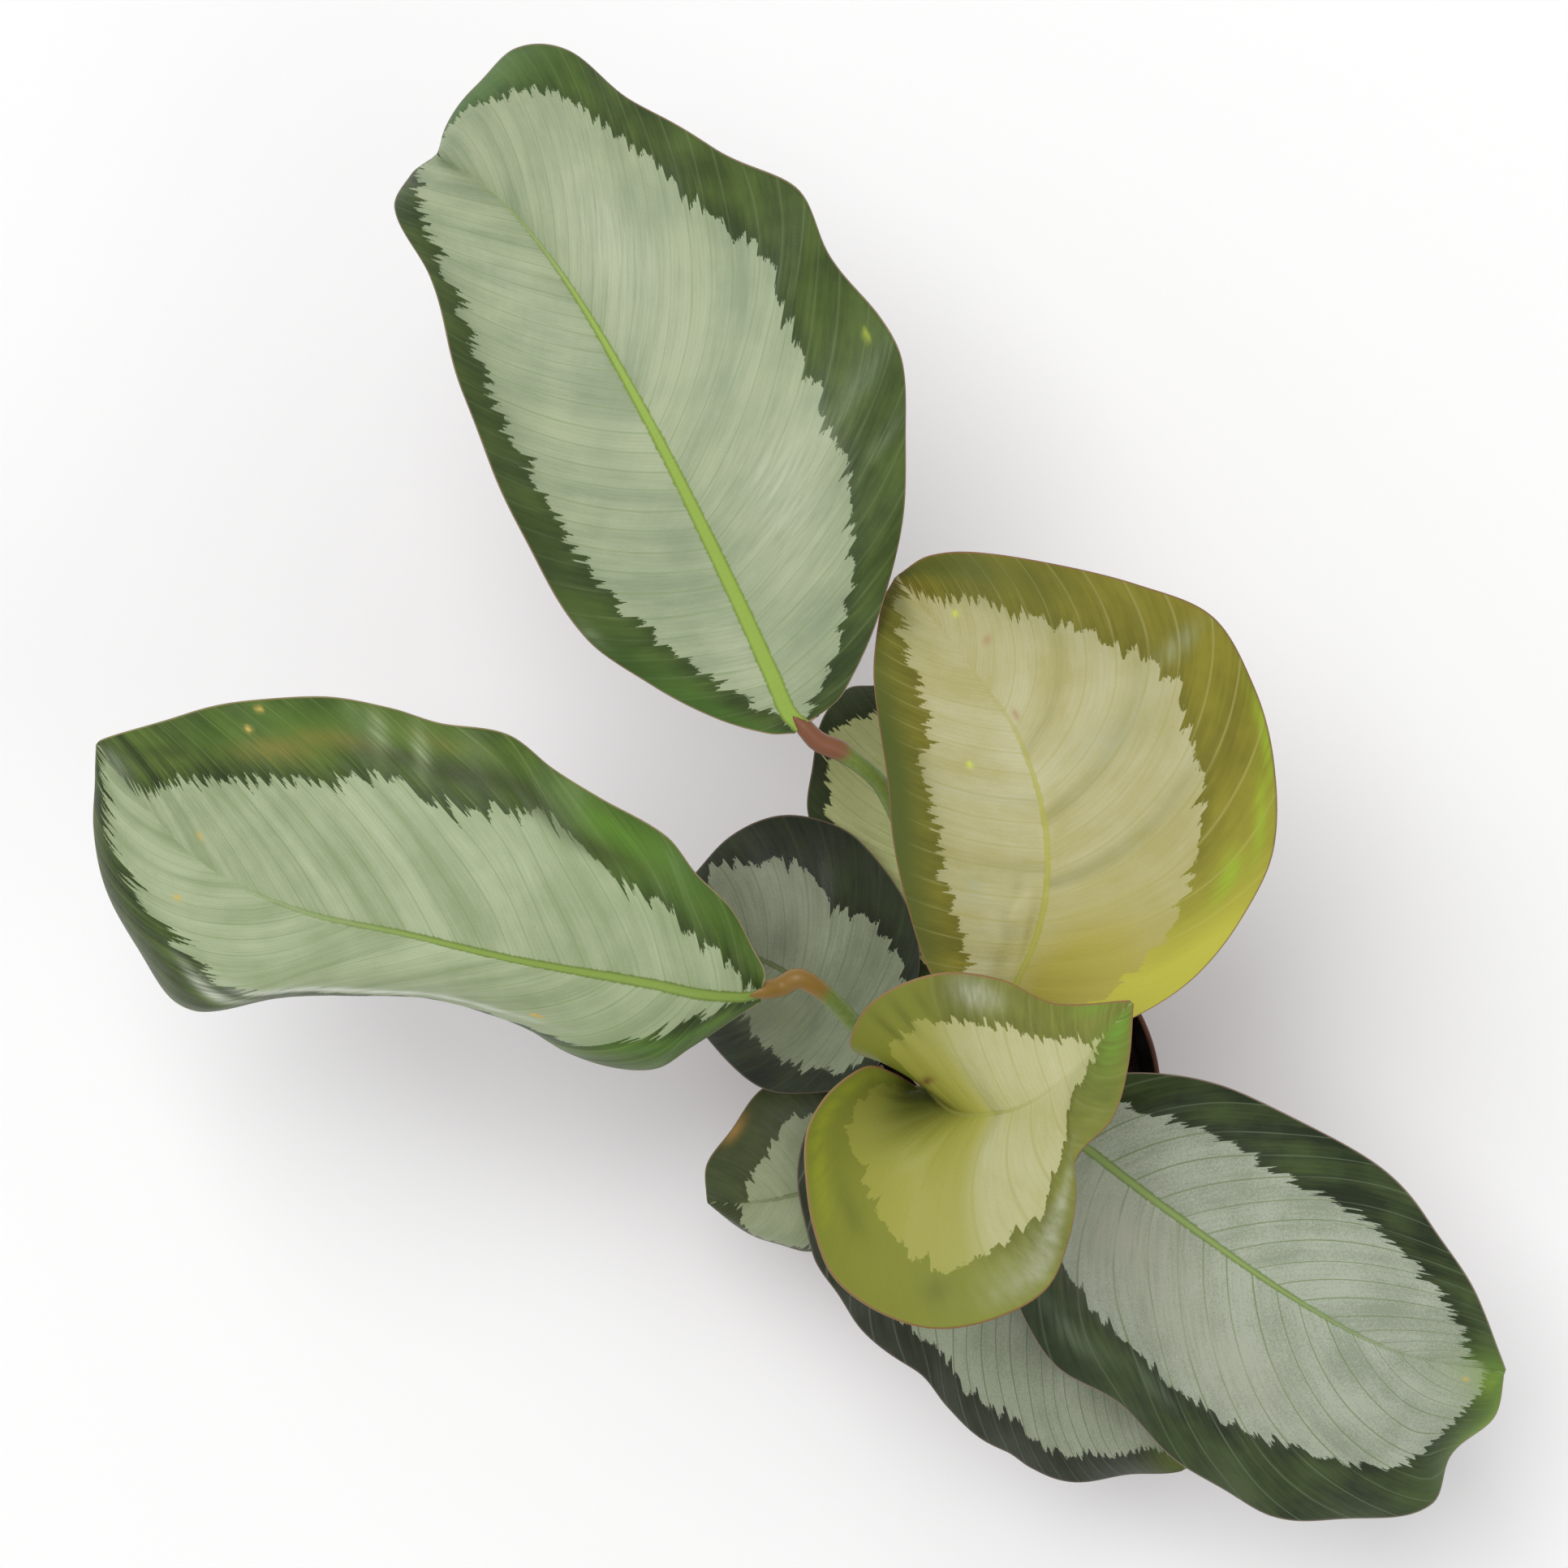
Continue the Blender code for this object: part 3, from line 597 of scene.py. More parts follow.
def upper_skin(key, leaf):
    skin, shader, place = new_material("leaf_cuticle_" + key)
    read = {name: add_node(skin, "Attribute", {}, "Fac", attribute_name=name) for name in PLACES}
    side = add_node(skin, "Math", {0: read["across"]}, operation="SIGN")
    apart = add_node(skin, "Math", {0: side, 1: HALVES_APART}, operation="MULTIPLY")
    courses = []
    for squeeze in SQUEEZES:
        outward = add_node(skin, "Math", {0: read["silver"], 1: squeeze}, operation="MULTIPLY")
        courses.append(add_node(skin, "CombineXYZ", {"X": read["vein"], "Y": outward, "Z": apart}))
    strokes, flecks = courses
    wander = add_node(skin, "TexNoise", {"Vector": strokes, "Scale": 0.15, "Detail": 1.0})
    falls = []
    for step_mm, depth, shift in SILVER_STEPS:
        step = add_node(skin, "Math", {0: read["vein"], 1: 1.0 / step_mm}, operation="MULTIPLY")
        step = add_node(skin, "Math", {0: wander, 1: shift, 2: step}, operation="MULTIPLY_ADD")
        falls.append((add_node(skin, "Math", {0: step}, operation="FRACT"), depth))
    # Points about 8 mm, 2.5 mm and 0.7 mm apart. Each fold of the noise makes one point
    for course, scale, depth in ((strokes, 0.12, 13.0), (strokes, 0.4, 5.0), (flecks, 1.4, 4.0)):
        tooth = add_node(skin, "TexNoise", {"Vector": course, "Scale": scale, "Detail": 0.0})
        tooth = add_node(skin, "Math", {0: tooth, 1: 0.5}, operation="SUBTRACT")
        falls.append((add_node(skin, "Math", {0: tooth}, operation="ABSOLUTE"), depth))
    reach = add_node(skin, "Math", {0: read["silver"], 1: SILVER_LEAD * leaf["tooth"]}, operation="ADD")
    for fall, depth in falls:
        pull = -depth * leaf["tooth"]
        reach = add_node(skin, "Math", {0: fall, 1: pull, 2: reach}, operation="MULTIPLY_ADD")
    mask = add_node(skin, "MapRange", {"Value": reach, "From Min": -0.2, "From Max": 0.3}, **SMOOTH)
    # Clouds 15 mm across, broad bands 10 mm and streaks 1 mm wide along the veins, and grain of 0.5 mm
    clouds = add_node(skin, "TexNoise", {"Vector": place, "Scale": 65.0, "Detail": 3.0})
    bands = add_node(skin, "TexNoise", {"Vector": strokes, "Scale": 0.1, "Detail": 1.0})
    streaks = add_node(skin, "TexNoise", {"Vector": strokes, "Scale": 0.9, "Detail": 3.0})
    grain = add_node(skin, "TexNoise", {"Vector": place, "Scale": 1900.0, "Detail": 2.0})
    # The broad bands along the veins also lighten and darken the tone: painted shading of the pleats
    pleat = leaf.get("pleat", 1.0)
    pleats = add_node(skin, "Math", {0: bands, 1: pleat, 2: 0.5 - 0.5 * pleat}, operation="MULTIPLY_ADD")
    tone = add_node(skin, "Math", {0: streaks, 1: 0.6, 2: clouds}, operation="MULTIPLY_ADD")
    tone = add_node(skin, "Math", {0: tone, 1: pleats}, operation="ADD")
    grainy = add_node(skin, "Math", {0: grain, 1: leaf["grain"], 2: tone}, operation="MULTIPLY_ADD")
    silvering = add_node(skin, "MapRange", {"Value": grainy, "From Min": 1.0 + 0.5 * leaf["grain"],
                                            "From Max": 1.6 + 0.5 * leaf["grain"]})
    mottle = add_node(skin, "MapRange", {"Value": tone, "From Min": 1.05, "From Max": 1.55})
    # Side veins: hair-fine lines of green in the silver and pale ones in the border
    course = add_node(skin, "Math", {0: bands, 1: 4.0, 2: read["vein"]}, operation="MULTIPLY_ADD")
    threads = ((2.0, 0.05, leaf.get("thread", 0.42), 1.0), (10.0, 0.02, 0.3, leaf.get("hair", 0.25)))
    drawn = []
    for share, low, high, ink in threads:
        line = add_node(skin, "Math", {0: course, 1: leaf["vein_step"] / share}, operation="PINGPONG")
        drawn.append(add_node(skin, "MapRange", {"Value": line, "From Min": low, "From Max": high,
                                                 "To Min": leaf["vein_ink"] * ink, "To Max": 0.0}, **SMOOTH))
    lines = add_node(skin, "Math", {0: drawn[0], 1: drawn[1]}, operation="MAXIMUM")
    pale_line = add_node(skin, "Math", {0: drawn[0], 1: leaf["vein_show"]}, operation="MULTIPLY")
    # The green is deepest beside the silver. Yellow-green patches are the leaf's own yellowing and painted
    # light, a glow where light shines through the thin blade and a highlight. Darker patches are mostly
    # painted shade
    beside = add_node(skin, "MapRange", {"Value": reach, "From Min": -6.0, "From Max": 0.0,
                                         "To Min": 0.0, "To Max": leaf["beside"]}, **SMOOTH)
    centre = srgb(leaf["silver_deep"])
    for amount, tint in ((silvering, "silver_pale"), (lines, "vein_green")):
        centre = add_node(skin, "Mix", {0: amount, 6: centre, 7: srgb(leaf[tint])}, 2, data_type="RGBA")
    border = srgb(leaf["green_deep"])
    for amount, tint in ((mottle, srgb(leaf["green_pale"])), (pale_line, srgb(leaf["vein_pale"])),
                         (beside, darker(leaf["green_deep"], 0.6))):
        border = add_node(skin, "Mix", {0: amount, 6: border, 7: tint}, 2, data_type="RGBA")
    if "glow" in leaf:
        glow = add_node(skin, "Attribute", {}, "Fac", attribute_name="glow")
        centre = add_node(skin, "Mix", {0: glow, 6: centre, 7: srgb(leaf["glow_centre"])}, 2,
                          data_type="RGBA")
        border = add_node(skin, "Mix", {0: glow, 6: border, 7: srgb(leaf["glow_border"])}, 2,
                          data_type="RGBA")
    coats = [(mask, centre)]
    # Painted shade: darker patches in throats and under curled and folded margins, and a few dark streaks of
    # the leaf's own
    if "gloom" in leaf:
        gloom = add_node(skin, "Attribute", {}, "Fac", attribute_name="gloom")
        coats.append((gloom, srgb(leaf["gloom_colour"])))
    # Blotches of other tints, uneven along the veins. Most are the leaf's own colours; some are painted
    # sheen, painted highlight and painted shade, as marked at each leaf
    uneven = add_node(skin, "MapRange", {"Value": streaks, "From Min": 0.3, "From Max": 0.7,
                                         "To Min": 0.4, "To Max": 1.4})
    for number, (code, _) in enumerate(leaf.get("tints", ())):
        amount = add_node(skin, "Attribute", {}, "Fac", attribute_name="tint_%d" % number)
        amount = add_node(skin, "Math", {0: amount, 1: uneven}, operation="MULTIPLY")
        coats.append((amount, srgb(code)))
    # The midrib has a bright middle and darker, ragged sides, and fades out before the tip
    rib_end = leaf["rib_end"]
    lasting = add_node(skin, "MapRange", {"Value": read["along"], "From Min": rib_end - 0.4,
                                          "From Max": rib_end, "To Min": 1.0, "To Max": 0.1}, **SMOOTH)
    ragged = add_node(skin, "Math", {0: streaks, 1: 1.1, 2: read["rib_gap"]}, operation="MULTIPLY_ADD")
    rib = add_node(skin, "MapRange", {"Value": ragged, "From Min": 0.35, "From Max": 0.9,
                                      "To Min": 1.0, "To Max": 0.0}, **SMOOTH)
    rib = add_node(skin, "Math", {0: rib, 1: lasting}, operation="MULTIPLY")
    ridge = add_node(skin, "MapRange", {"Value": read["rib_gap"], "From Min": -0.9, "From Max": 0.0},
                     **SMOOTH)
    sides = darker(leaf["rib"], leaf.get("rib_sides", 0.62))
    rib_colour = add_node(skin, "Mix", {0: ridge, 6: srgb(leaf["rib"]), 7: sides}, 2, data_type="RGBA")
    # The margin is a thin horny line, pinkish tan to red-brown
    trim = add_node(skin, "MapRange", {"Value": read["edge_gap"], "From Min": 0.2, "From Max": 0.6,
                                       "To Min": 0.8, "To Max": 0.0}, **SMOOTH)
    coats.append((rib, rib_colour))
    if "specks" in leaf:
        speck = add_node(skin, "Attribute", {}, "Fac", attribute_name="speck")
        coats.append((speck, srgb(leaf.get("speck_colour", "#c8ad5c"))))
    coats.append((trim, srgb(leaf["margin"])))
    colour = border
    for amount, coat in coats:
        colour = add_node(skin, "Mix", {0: amount, 6: colour, 7: coat}, 2, data_type="RGBA")
    rough = add_node(skin, "MapRange", {"Value": grain, "To Min": 0.36, "To Max": 0.6})
    relief = add_node(skin, "Math", {0: streaks, 1: 2.0, 2: grain}, operation="MULTIPLY_ADD")
    bump = add_node(skin, "Bump", {"Height": relief, "Strength": 0.4, "Distance": 0.0002})
    fill(shader, {"Base Color": colour, "Roughness": rough, "Normal": bump, "IOR": 1.42,
                  "Specular IOR Level": 0.3, "Coat Weight": 0.05, "Coat Roughness": 0.3})
    return skin


# The under skin: matt and finely downy, wine purple on old leaves and dull green on young ones
def under_skin(key, leaf):
    skin, shader, place = new_material("leaf_underside_" + key)
    vein = add_node(skin, "Attribute", {}, "Fac", attribute_name="vein")
    rib_gap = add_node(skin, "Attribute", {}, "Fac", attribute_name="rib_gap")
    clouds = add_node(skin, "TexNoise", {"Vector": place, "Scale": 70.0, "Detail": 4.0})
    half_step = add_node(skin, "Math", {0: vein, 1: leaf["vein_step"] / 2.0}, operation="PINGPONG")
    line = add_node(skin, "MapRange", {"Value": half_step, "From Min": 0.1, "From Max": 0.6,
                                       "To Min": 0.5, "To Max": 0.0}, **SMOOTH)
    rib = add_node(skin, "MapRange", {"Value": rib_gap, "From Min": 0.6, "From Max": 1.8,
                                      "To Min": 1.0, "To Max": 0.0}, **SMOOTH)
    colour = srgb(leaf["under_deep"])
    for amount, tint in ((clouds, "under_pale"), (line, "under_rib"), (rib, "under_rib")):
        colour = add_node(skin, "Mix", {0: amount, 6: colour, 7: srgb(leaf[tint])}, 2, data_type="RGBA")
    down = add_node(skin, "TexNoise", {"Vector": place, "Scale": 2500.0, "Detail": 2.0})
    bump = add_node(skin, "Bump", {"Height": down, "Strength": 0.3, "Distance": 0.0001})
    fill(shader, {"Base Color": colour, "Normal": bump, "Roughness": 0.6, "IOR": 1.42})
    return skin


# The cut of the margin: the same horny line, seen from the side
def margin_skin(key, leaf):
    skin, shader, place = new_material("leaf_margin_" + key)
    flecks = add_node(skin, "TexNoise", {"Vector": place, "Scale": 300.0})
    colour = add_node(skin, "Mix", {0: flecks, 6: srgb(leaf["margin"]), 7: srgb(leaf["green_pale"])}, 2,
                      data_type="RGBA")
    fill(shader, {"Base Color": colour, "Roughness": 0.5})
    return skin


# Stalks
# Each is a firm, juicy leaf stem, round and slightly ribbed. It is thickest in the sheath that clasps
# its neighbours in the pot, and ends in the swollen joint that folds the leaf up at night.
STALK_RADIUS = 2.4
STALK_SIDES = 28
STALK_RIBS = 7
STALK_RIB_DEPTH = 0.012
RING_SPACING = 1.6
FEWEST_RINGS = 24
STALK_FOOT_Z = 64.0
STALK_STRAIGHT_Z = 79.0
STALK_DROP = 1.2
JOINT_GAP = 0.65
JOINT_LENGTH = 6.0
SHEATH_LENGTH = 60.0
SHEATH_SWELL = 0.30
JOINT_SWELL_LENGTH = 18.0
JOINT_SWELL = 0.18
# The joint's faint cross wrinkles, and the tail that tapers away inside the midrib
WRINKLE = 0.03
WRINKLES_PER_MM = 4.0
TAIL_STEPS = 5
TAIL_STEP = 0.9
TAIL_RISE = 0.1
TAIL_TAPER = 0.16


def make_stalk(key, leaf, blade, material):
    """A round stem along the stalk's route, with faint ribs, ending inside the base of the blade."""
    foot_x, foot_y = leaf["foot"]
    end = blade.midrib[0] + blade.under * STALK_DROP - blade.heading * JOINT_GAP
    route = [Vector((foot_x, foot_y, STALK_FOOT_Z)), Vector((foot_x, foot_y, STALK_STRAIGHT_Z))]
    route += [Vector(point) for point in leaf["stalk"]]
    route += [end - blade.heading * JOINT_LENGTH, end]
    length = sum((far - near).length for near, far in zip(route, route[1:]))
    rings = max(FEWEST_RINGS, round(length / RING_SPACING))
    centres = [curve_through(route, step / rings) for step in range(rings + 1)]
    for step in range(1, TAIL_STEPS + 1):
        centres.append(end + blade.heading * step * TAIL_STEP - blade.under * step * TAIL_RISE)
    shape = bmesh.new()
    marks = {"above_foot": [], "below_top": []}
    layers = []
    across = Vector((1.0, 0.0, 0.0))
    for index, centre in enumerate(centres):
        ahead = centres[min(index + 1, len(centres) - 1)] - centres[max(index - 1, 0)]
        ahead.normalize()
        across = (across - ahead * across.dot(ahead)).normalized()
        other = ahead.cross(across)
        above = min(index / rings, 1.0) * length
        below = length - above
        sheath = SHEATH_SWELL * max(0.0, 1.0 - above / SHEATH_LENGTH)
        swell = JOINT_SWELL * math.sin(math.pi * min(below / JOINT_SWELL_LENGTH, 1.0))
        radius = STALK_RADIUS * (1.0 + sheath + swell)
        radius *= 1.0 - TAIL_TAPER * max(0, index - rings)
        wrinkle = 0.0
        if below < JOINT_SWELL_LENGTH * 0.8:
            wrinkle = WRINKLE * math.sin(below * WRINKLES_PER_MM)
        layer = []
        for step in range(STALK_SIDES):
            angle = 2.0 * math.pi * step / STALK_SIDES
            ribbed = radius * (1.0 + STALK_RIB_DEPTH * math.cos(STALK_RIBS * angle) - 0.01)
            spot = centre + (across * math.cos(angle) + other * math.sin(angle)) * (ribbed + wrinkle)
            layer.append(shape.verts.new(spot * MM))
            marks["above_foot"].append(above)
            marks["below_top"].append(below)
        layers.append(layer)
    for near, far in zip(layers, layers[1:]):
        for step in range(STALK_SIDES):
            after = (step + 1) % STALK_SIDES
            shape.faces.new((near[step], near[after], far[after], far[step])).smooth = True
    shape.faces.new(list(reversed(layers[0])))
    shape.faces.new(layers[-1])
    piece = add_piece("stalk_" + key + "_stem", shape, [material], "stalk", "stalk_" + key)
    for name, numbers in marks.items():
        piece.data.attributes.new(name, "FLOAT", "POINT").data.foreach_set("value", numbers)


# Living stem tissue: a waxy green skin with fine lengthwise streaks, red-brown over the joint
def stem_skin(key, leaf):
    skin, shader, place = new_material("stem_skin_" + key)
    above = add_node(skin, "Attribute", {}, "Fac", attribute_name="above_foot")
    below = add_node(skin, "Attribute", {}, "Fac", attribute_name="below_top")
    flecks = add_node(skin, "TexNoise", {"Vector": place, "Scale": 700.0, "Detail": 3.0})
    clouds = add_node(skin, "TexNoise", {"Vector": place, "Scale": 120.0, "Detail": 2.0})
    low = add_node(skin, "MapRange", {"Value": above, "From Min": 10.0, "From Max": 55.0,
                                      "To Min": 0.75, "To Max": 0.0}, **SMOOTH)
    ragged = add_node(skin, "Math", {0: clouds, 1: 6.0, 2: below}, operation="MULTIPLY_ADD")
    reach = leaf["joint_reach"]
    joint = add_node(skin, "MapRange", {"Value": ragged, "From Min": reach, "From Max": reach + 5.0,
                                        "To Min": 1.0, "To Max": 0.0}, **SMOOTH)
    colour = srgb(leaf["stem_deep"])
    for amount, tint in ((flecks, leaf["stem_pale"]), (low, "#6d3b34"), (joint, leaf["joint_colour"])):
        colour = add_node(skin, "Mix", {0: amount, 6: colour, 7: srgb(tint)}, 2, data_type="RGBA")
    bump = add_node(skin, "Bump", {"Height": flecks, "Strength": 0.3, "Distance": 0.0002})
    fill(shader, {"Base Color": colour, "Normal": bump, "Roughness": 0.42, "IOR": 1.42})
    return skin


def grow(key, **leaf):
    """One whole leaf: its blade with upper skin, under skin and margin, and its stalk."""
    blade = make_blade(key, leaf, [upper_skin(key, leaf), under_skin(key, leaf), margin_skin(key, leaf)])
    make_stalk(key, leaf, blade, stem_skin(key, leaf))


WINE = {"under_deep": "#4b1f2f", "under_pale": "#6d3444", "under_rib": "#9a7a55"}
DULL_GREEN = {"under_deep": "#6f6b35", "under_pale": "#8d8a4a", "under_rib": "#a8a566"}
GREEN_STEM = {"stem_deep": "#566a2a", "stem_pale": "#7d8f44", "joint_colour": "#7b4e34", "joint_reach": 14.0}

# Leaf A
# The largest leaf, mature and held flat under the light at the top left. Its left margin and its tip
# curl down, so that the silver meets the outline there.
grow(
    "a",
    midrib=[(-53, 104, 203), (-57, 108, 205), (-61, 117, 208), (-72, 141, 213), (-93, 183, 219),
        (-114, 219, 216), (-133, 243, 205), (-151, 256, 188)],
    left=[(-62, 102, 203), (-76, 106, 202), (-93, 115, 202), (-110, 127, 204), (-127, 155, 208),
        (-142, 191, 210), (-151, 222, 206), (-161, 241, 198), (-157, 251, 190)],
    right=[(-47, 108, 203), (-42, 113, 203), (-33, 133, 204), (-27, 156, 208), (-26, 180, 212),
        (-27, 199, 214), (-33, 211, 213), (-46, 227, 214), (-55, 245, 211), (-76, 255, 211),
        (-98, 269, 206), (-115, 282, 198), (-130, 285, 190), (-140, 275, 185), (-148, 264, 184)],
    left_arch=(0.06, 0.08, 0.35), right_arch=(0.08, 0.08, 0.3), left_ruffle=(0.8, 6, 0.2),
    right_ruffle=(2.2, 7, 0.6), foot=(-1, 5),
    stalk=[(-4, 11, 108), (-10, 29, 142), (-18, 55, 168), (-31, 87, 190), (-42, 97, 198)],
    left_veins=(0.9, 1.6), right_veins=(0.82, 1.6), vein_step=5.6, pillow=0.35, pleat=1.4, rib_width=4.8,
    left_silver=[0.3, 0.54, 0.62, 0.72, 0.75, 0.82, 0.82, 0.85, 0.72, 0.8, 1.0],
    right_silver=[0.4, 0.63, 0.66, 0.6, 0.7, 0.73, 0.78, 0.73, 0.68, 0.8, 1.0], tooth=1.0, vein_ink=0.5,
    vein_show=0.4, beside=0.5, grain=0.25, rib_end=0.98, mesh=(190, 56), slot="mature_blade",
    silver_deep="#8c997a", silver_pale="#a5af8e", green_deep="#35451f", green_pale="#50632c",
    vein_green="#7d9160", vein_pale="#7d8c5e", rib="#8faa48", margin="#a58a72", specks=[(0.32, 0.91)],
    speck_colour="#a3b03a", glow=[(0.85, 0.9, 0.12, 0.2, 0.6), (0.1, -0.9, 0.12, 0.2, 0.5)],
    # Painted shade along the left margin where it curls down
    glow_border="#4f7a2b", glow_centre="#a3b184", gloom=[(0.45, -0.97, 0.35, 0.2, 0.5)],
    gloom_colour="#36441f",
    tints=[
        # Pale streaks in the border; the one on the left half is painted sheen
        ("#7d8d6d", [(0.3, 0.8, 0.01, 0.15, 0.35), (0.24, 0.86, 0.01, 0.12, 0.35),
                    (0.23, -0.95, 0.02, 0.05, 0.4)]),
        # Painted sheen: whitish patches on the silver
        ("#b2ba9c", [(0.27, 0.34, 0.09, 0.22, 0.7), (0.14, -0.2, 0.05, 0.2, 0.5),
                    (0.62, 0.3, 0.12, 0.25, 0.5)]),
        ("#849274", [(0.3, -0.18, 0.05, 0.12, 0.5), (0.42, -0.3, 0.06, 0.14, 0.4)])],
    **WINE, **GREEN_STEM)

# Leaf B
# A large mature leaf at the left, rolled about its midrib: the upper half faces the light and the
# lower half falls away steeply and folds under, and its tip is twisted over.
grow(
    "b",
    midrib=[(-64, 33, 189), (-69, 32, 191), (-80, 33, 193), (-94, 36, 195), (-128, 42, 198),
        (-158, 49, 197), (-186, 55, 192), (-211, 66, 184), (-231, 84, 173), (-244, 100, 164)],
    right=[(-63, 39, 191), (-66, 45, 192), (-72, 56, 193), (-81, 65, 194), (-89, 75, 195), (-106, 85, 198),
        (-119, 93, 199), (-131, 102, 197), (-149, 105, 196), (-162, 109, 195), (-180, 112, 191),
        (-202, 111, 185), (-225, 106, 175)],
    left=[(-70, 27, 186), (-83, 18, 179), (-92, 12, 176), (-103, 12, 172), (-117, 17, 167), (-131, 25, 162),
        (-153, 33, 159), (-175, 34, 158), (-197, 33, 158), (-217, 28, 160), (-225, 31, 162),
        (-233, 43, 164), (-241, 60, 165), (-245, 77, 166), (-245, 91, 164)],
    left_arch=(0.15, 0.44, 0.22), right_arch=(0.08, 0.1, 0.12), left_ruffle=(1.0, 5, 0.0),
    right_ruffle=(2.0, 6, 0.3), foot=(-9, -2),
    stalk=[(-12, 1, 112), (-22, 10, 148), (-36, 21, 173), (-46, 32, 184), (-54, 37, 187)],
    left_veins=(0.75, 2.1), right_veins=(0.75, 2.1), vein_step=7.0, pillow=0.5, pleat=1.5, rib_width=3.4,
    left_silver=[0.2, 0.36, 0.68, 0.7, 0.55, 0.46, 0.47, 0.52, 0.63, 0.7, 0.3],
    right_silver=[0.3, 0.5, 0.58, 0.73, 0.62, 0.67, 0.6, 0.58, 0.5, 0.1, -0.25], tooth=1.1, vein_ink=0.45,
    vein_show=0.6, beside=0.6, grain=0.25, rib_end=0.8, mesh=(190, 56), slot="mature_blade",
    silver_deep="#8f9d76", silver_pale="#a8b490", green_deep="#303f18", green_pale="#566b2c",
    vein_green="#7a9058", vein_pale="#8d9a63", rib="#849d48", margin="#a08f68",
    specks=[(0.66, 0.95), (0.68, 0.85), (0.77, 0.16), (0.72, -0.29), (0.24, -0.43), (0.245, -0.42)],
    glow=[(0.6, 0.85, 0.2, 0.15, 0.6), (0.15, 0.85, 0.15, 0.25, 0.7), (0.08, -0.8, 0.1, 0.3, 0.6)],
    glow_border="#587a2d", glow_centre="#9db27c",
    # Painted shade on the lower half where it folds under; darker patches beside the silver on the upper half
    gloom=[(0.5, 0.78, 0.06, 0.05, 0.8), (0.42, 0.77, 0.05, 0.07, 0.8), (0.34, 0.77, 0.05, 0.08, 0.8),
        (0.25, 0.7, 0.05, 0.06, 0.7), (0.9, 0.62, 0.04, 0.12, 0.5), (0.82, 0.72, 0.05, 0.06, 0.5),
        (0.6, -0.7, 0.1, 0.07, 0.9), (0.72, -0.9, 0.12, 0.15, 0.7)],
    gloom_colour="#39451c",
    tints=[
        ("#857a36", [(0.65, 0.74, 0.05, 0.06, 0.7), (0.57, 0.81, 0.05, 0.05, 0.5),
                    (0.44, 0.9, 0.04, 0.04, 0.3)]),
        ("#9aa87c", [(0.51, 0.88, 0.012, 0.09, 0.6), (0.46, 0.84, 0.01, 0.1, 0.6)]),
        ("#5d8a2a", [(0.22, 0.86, 0.05, 0.08, 0.6), (0.1, -0.56, 0.08, 0.1, 0.5)]),
        # Painted highlight: a near-white strip along the lower fold
        ("#d3d9c8", [(0.5, -0.45, 0.07, 0.035, 0.9), (0.4, -0.47, 0.07, 0.035, 0.9),
                    (0.3, -0.5, 0.06, 0.035, 0.8), (0.58, -0.55, 0.05, 0.04, 0.7)]),
        # Painted sheen on the twisted-over tip
        ("#808a70", [(0.95, 0.2, 0.04, 0.35, 0.8)])],
    **WINE, **(GREEN_STEM | {"joint_colour": "#8a6a2c", "joint_reach": 20.0}))

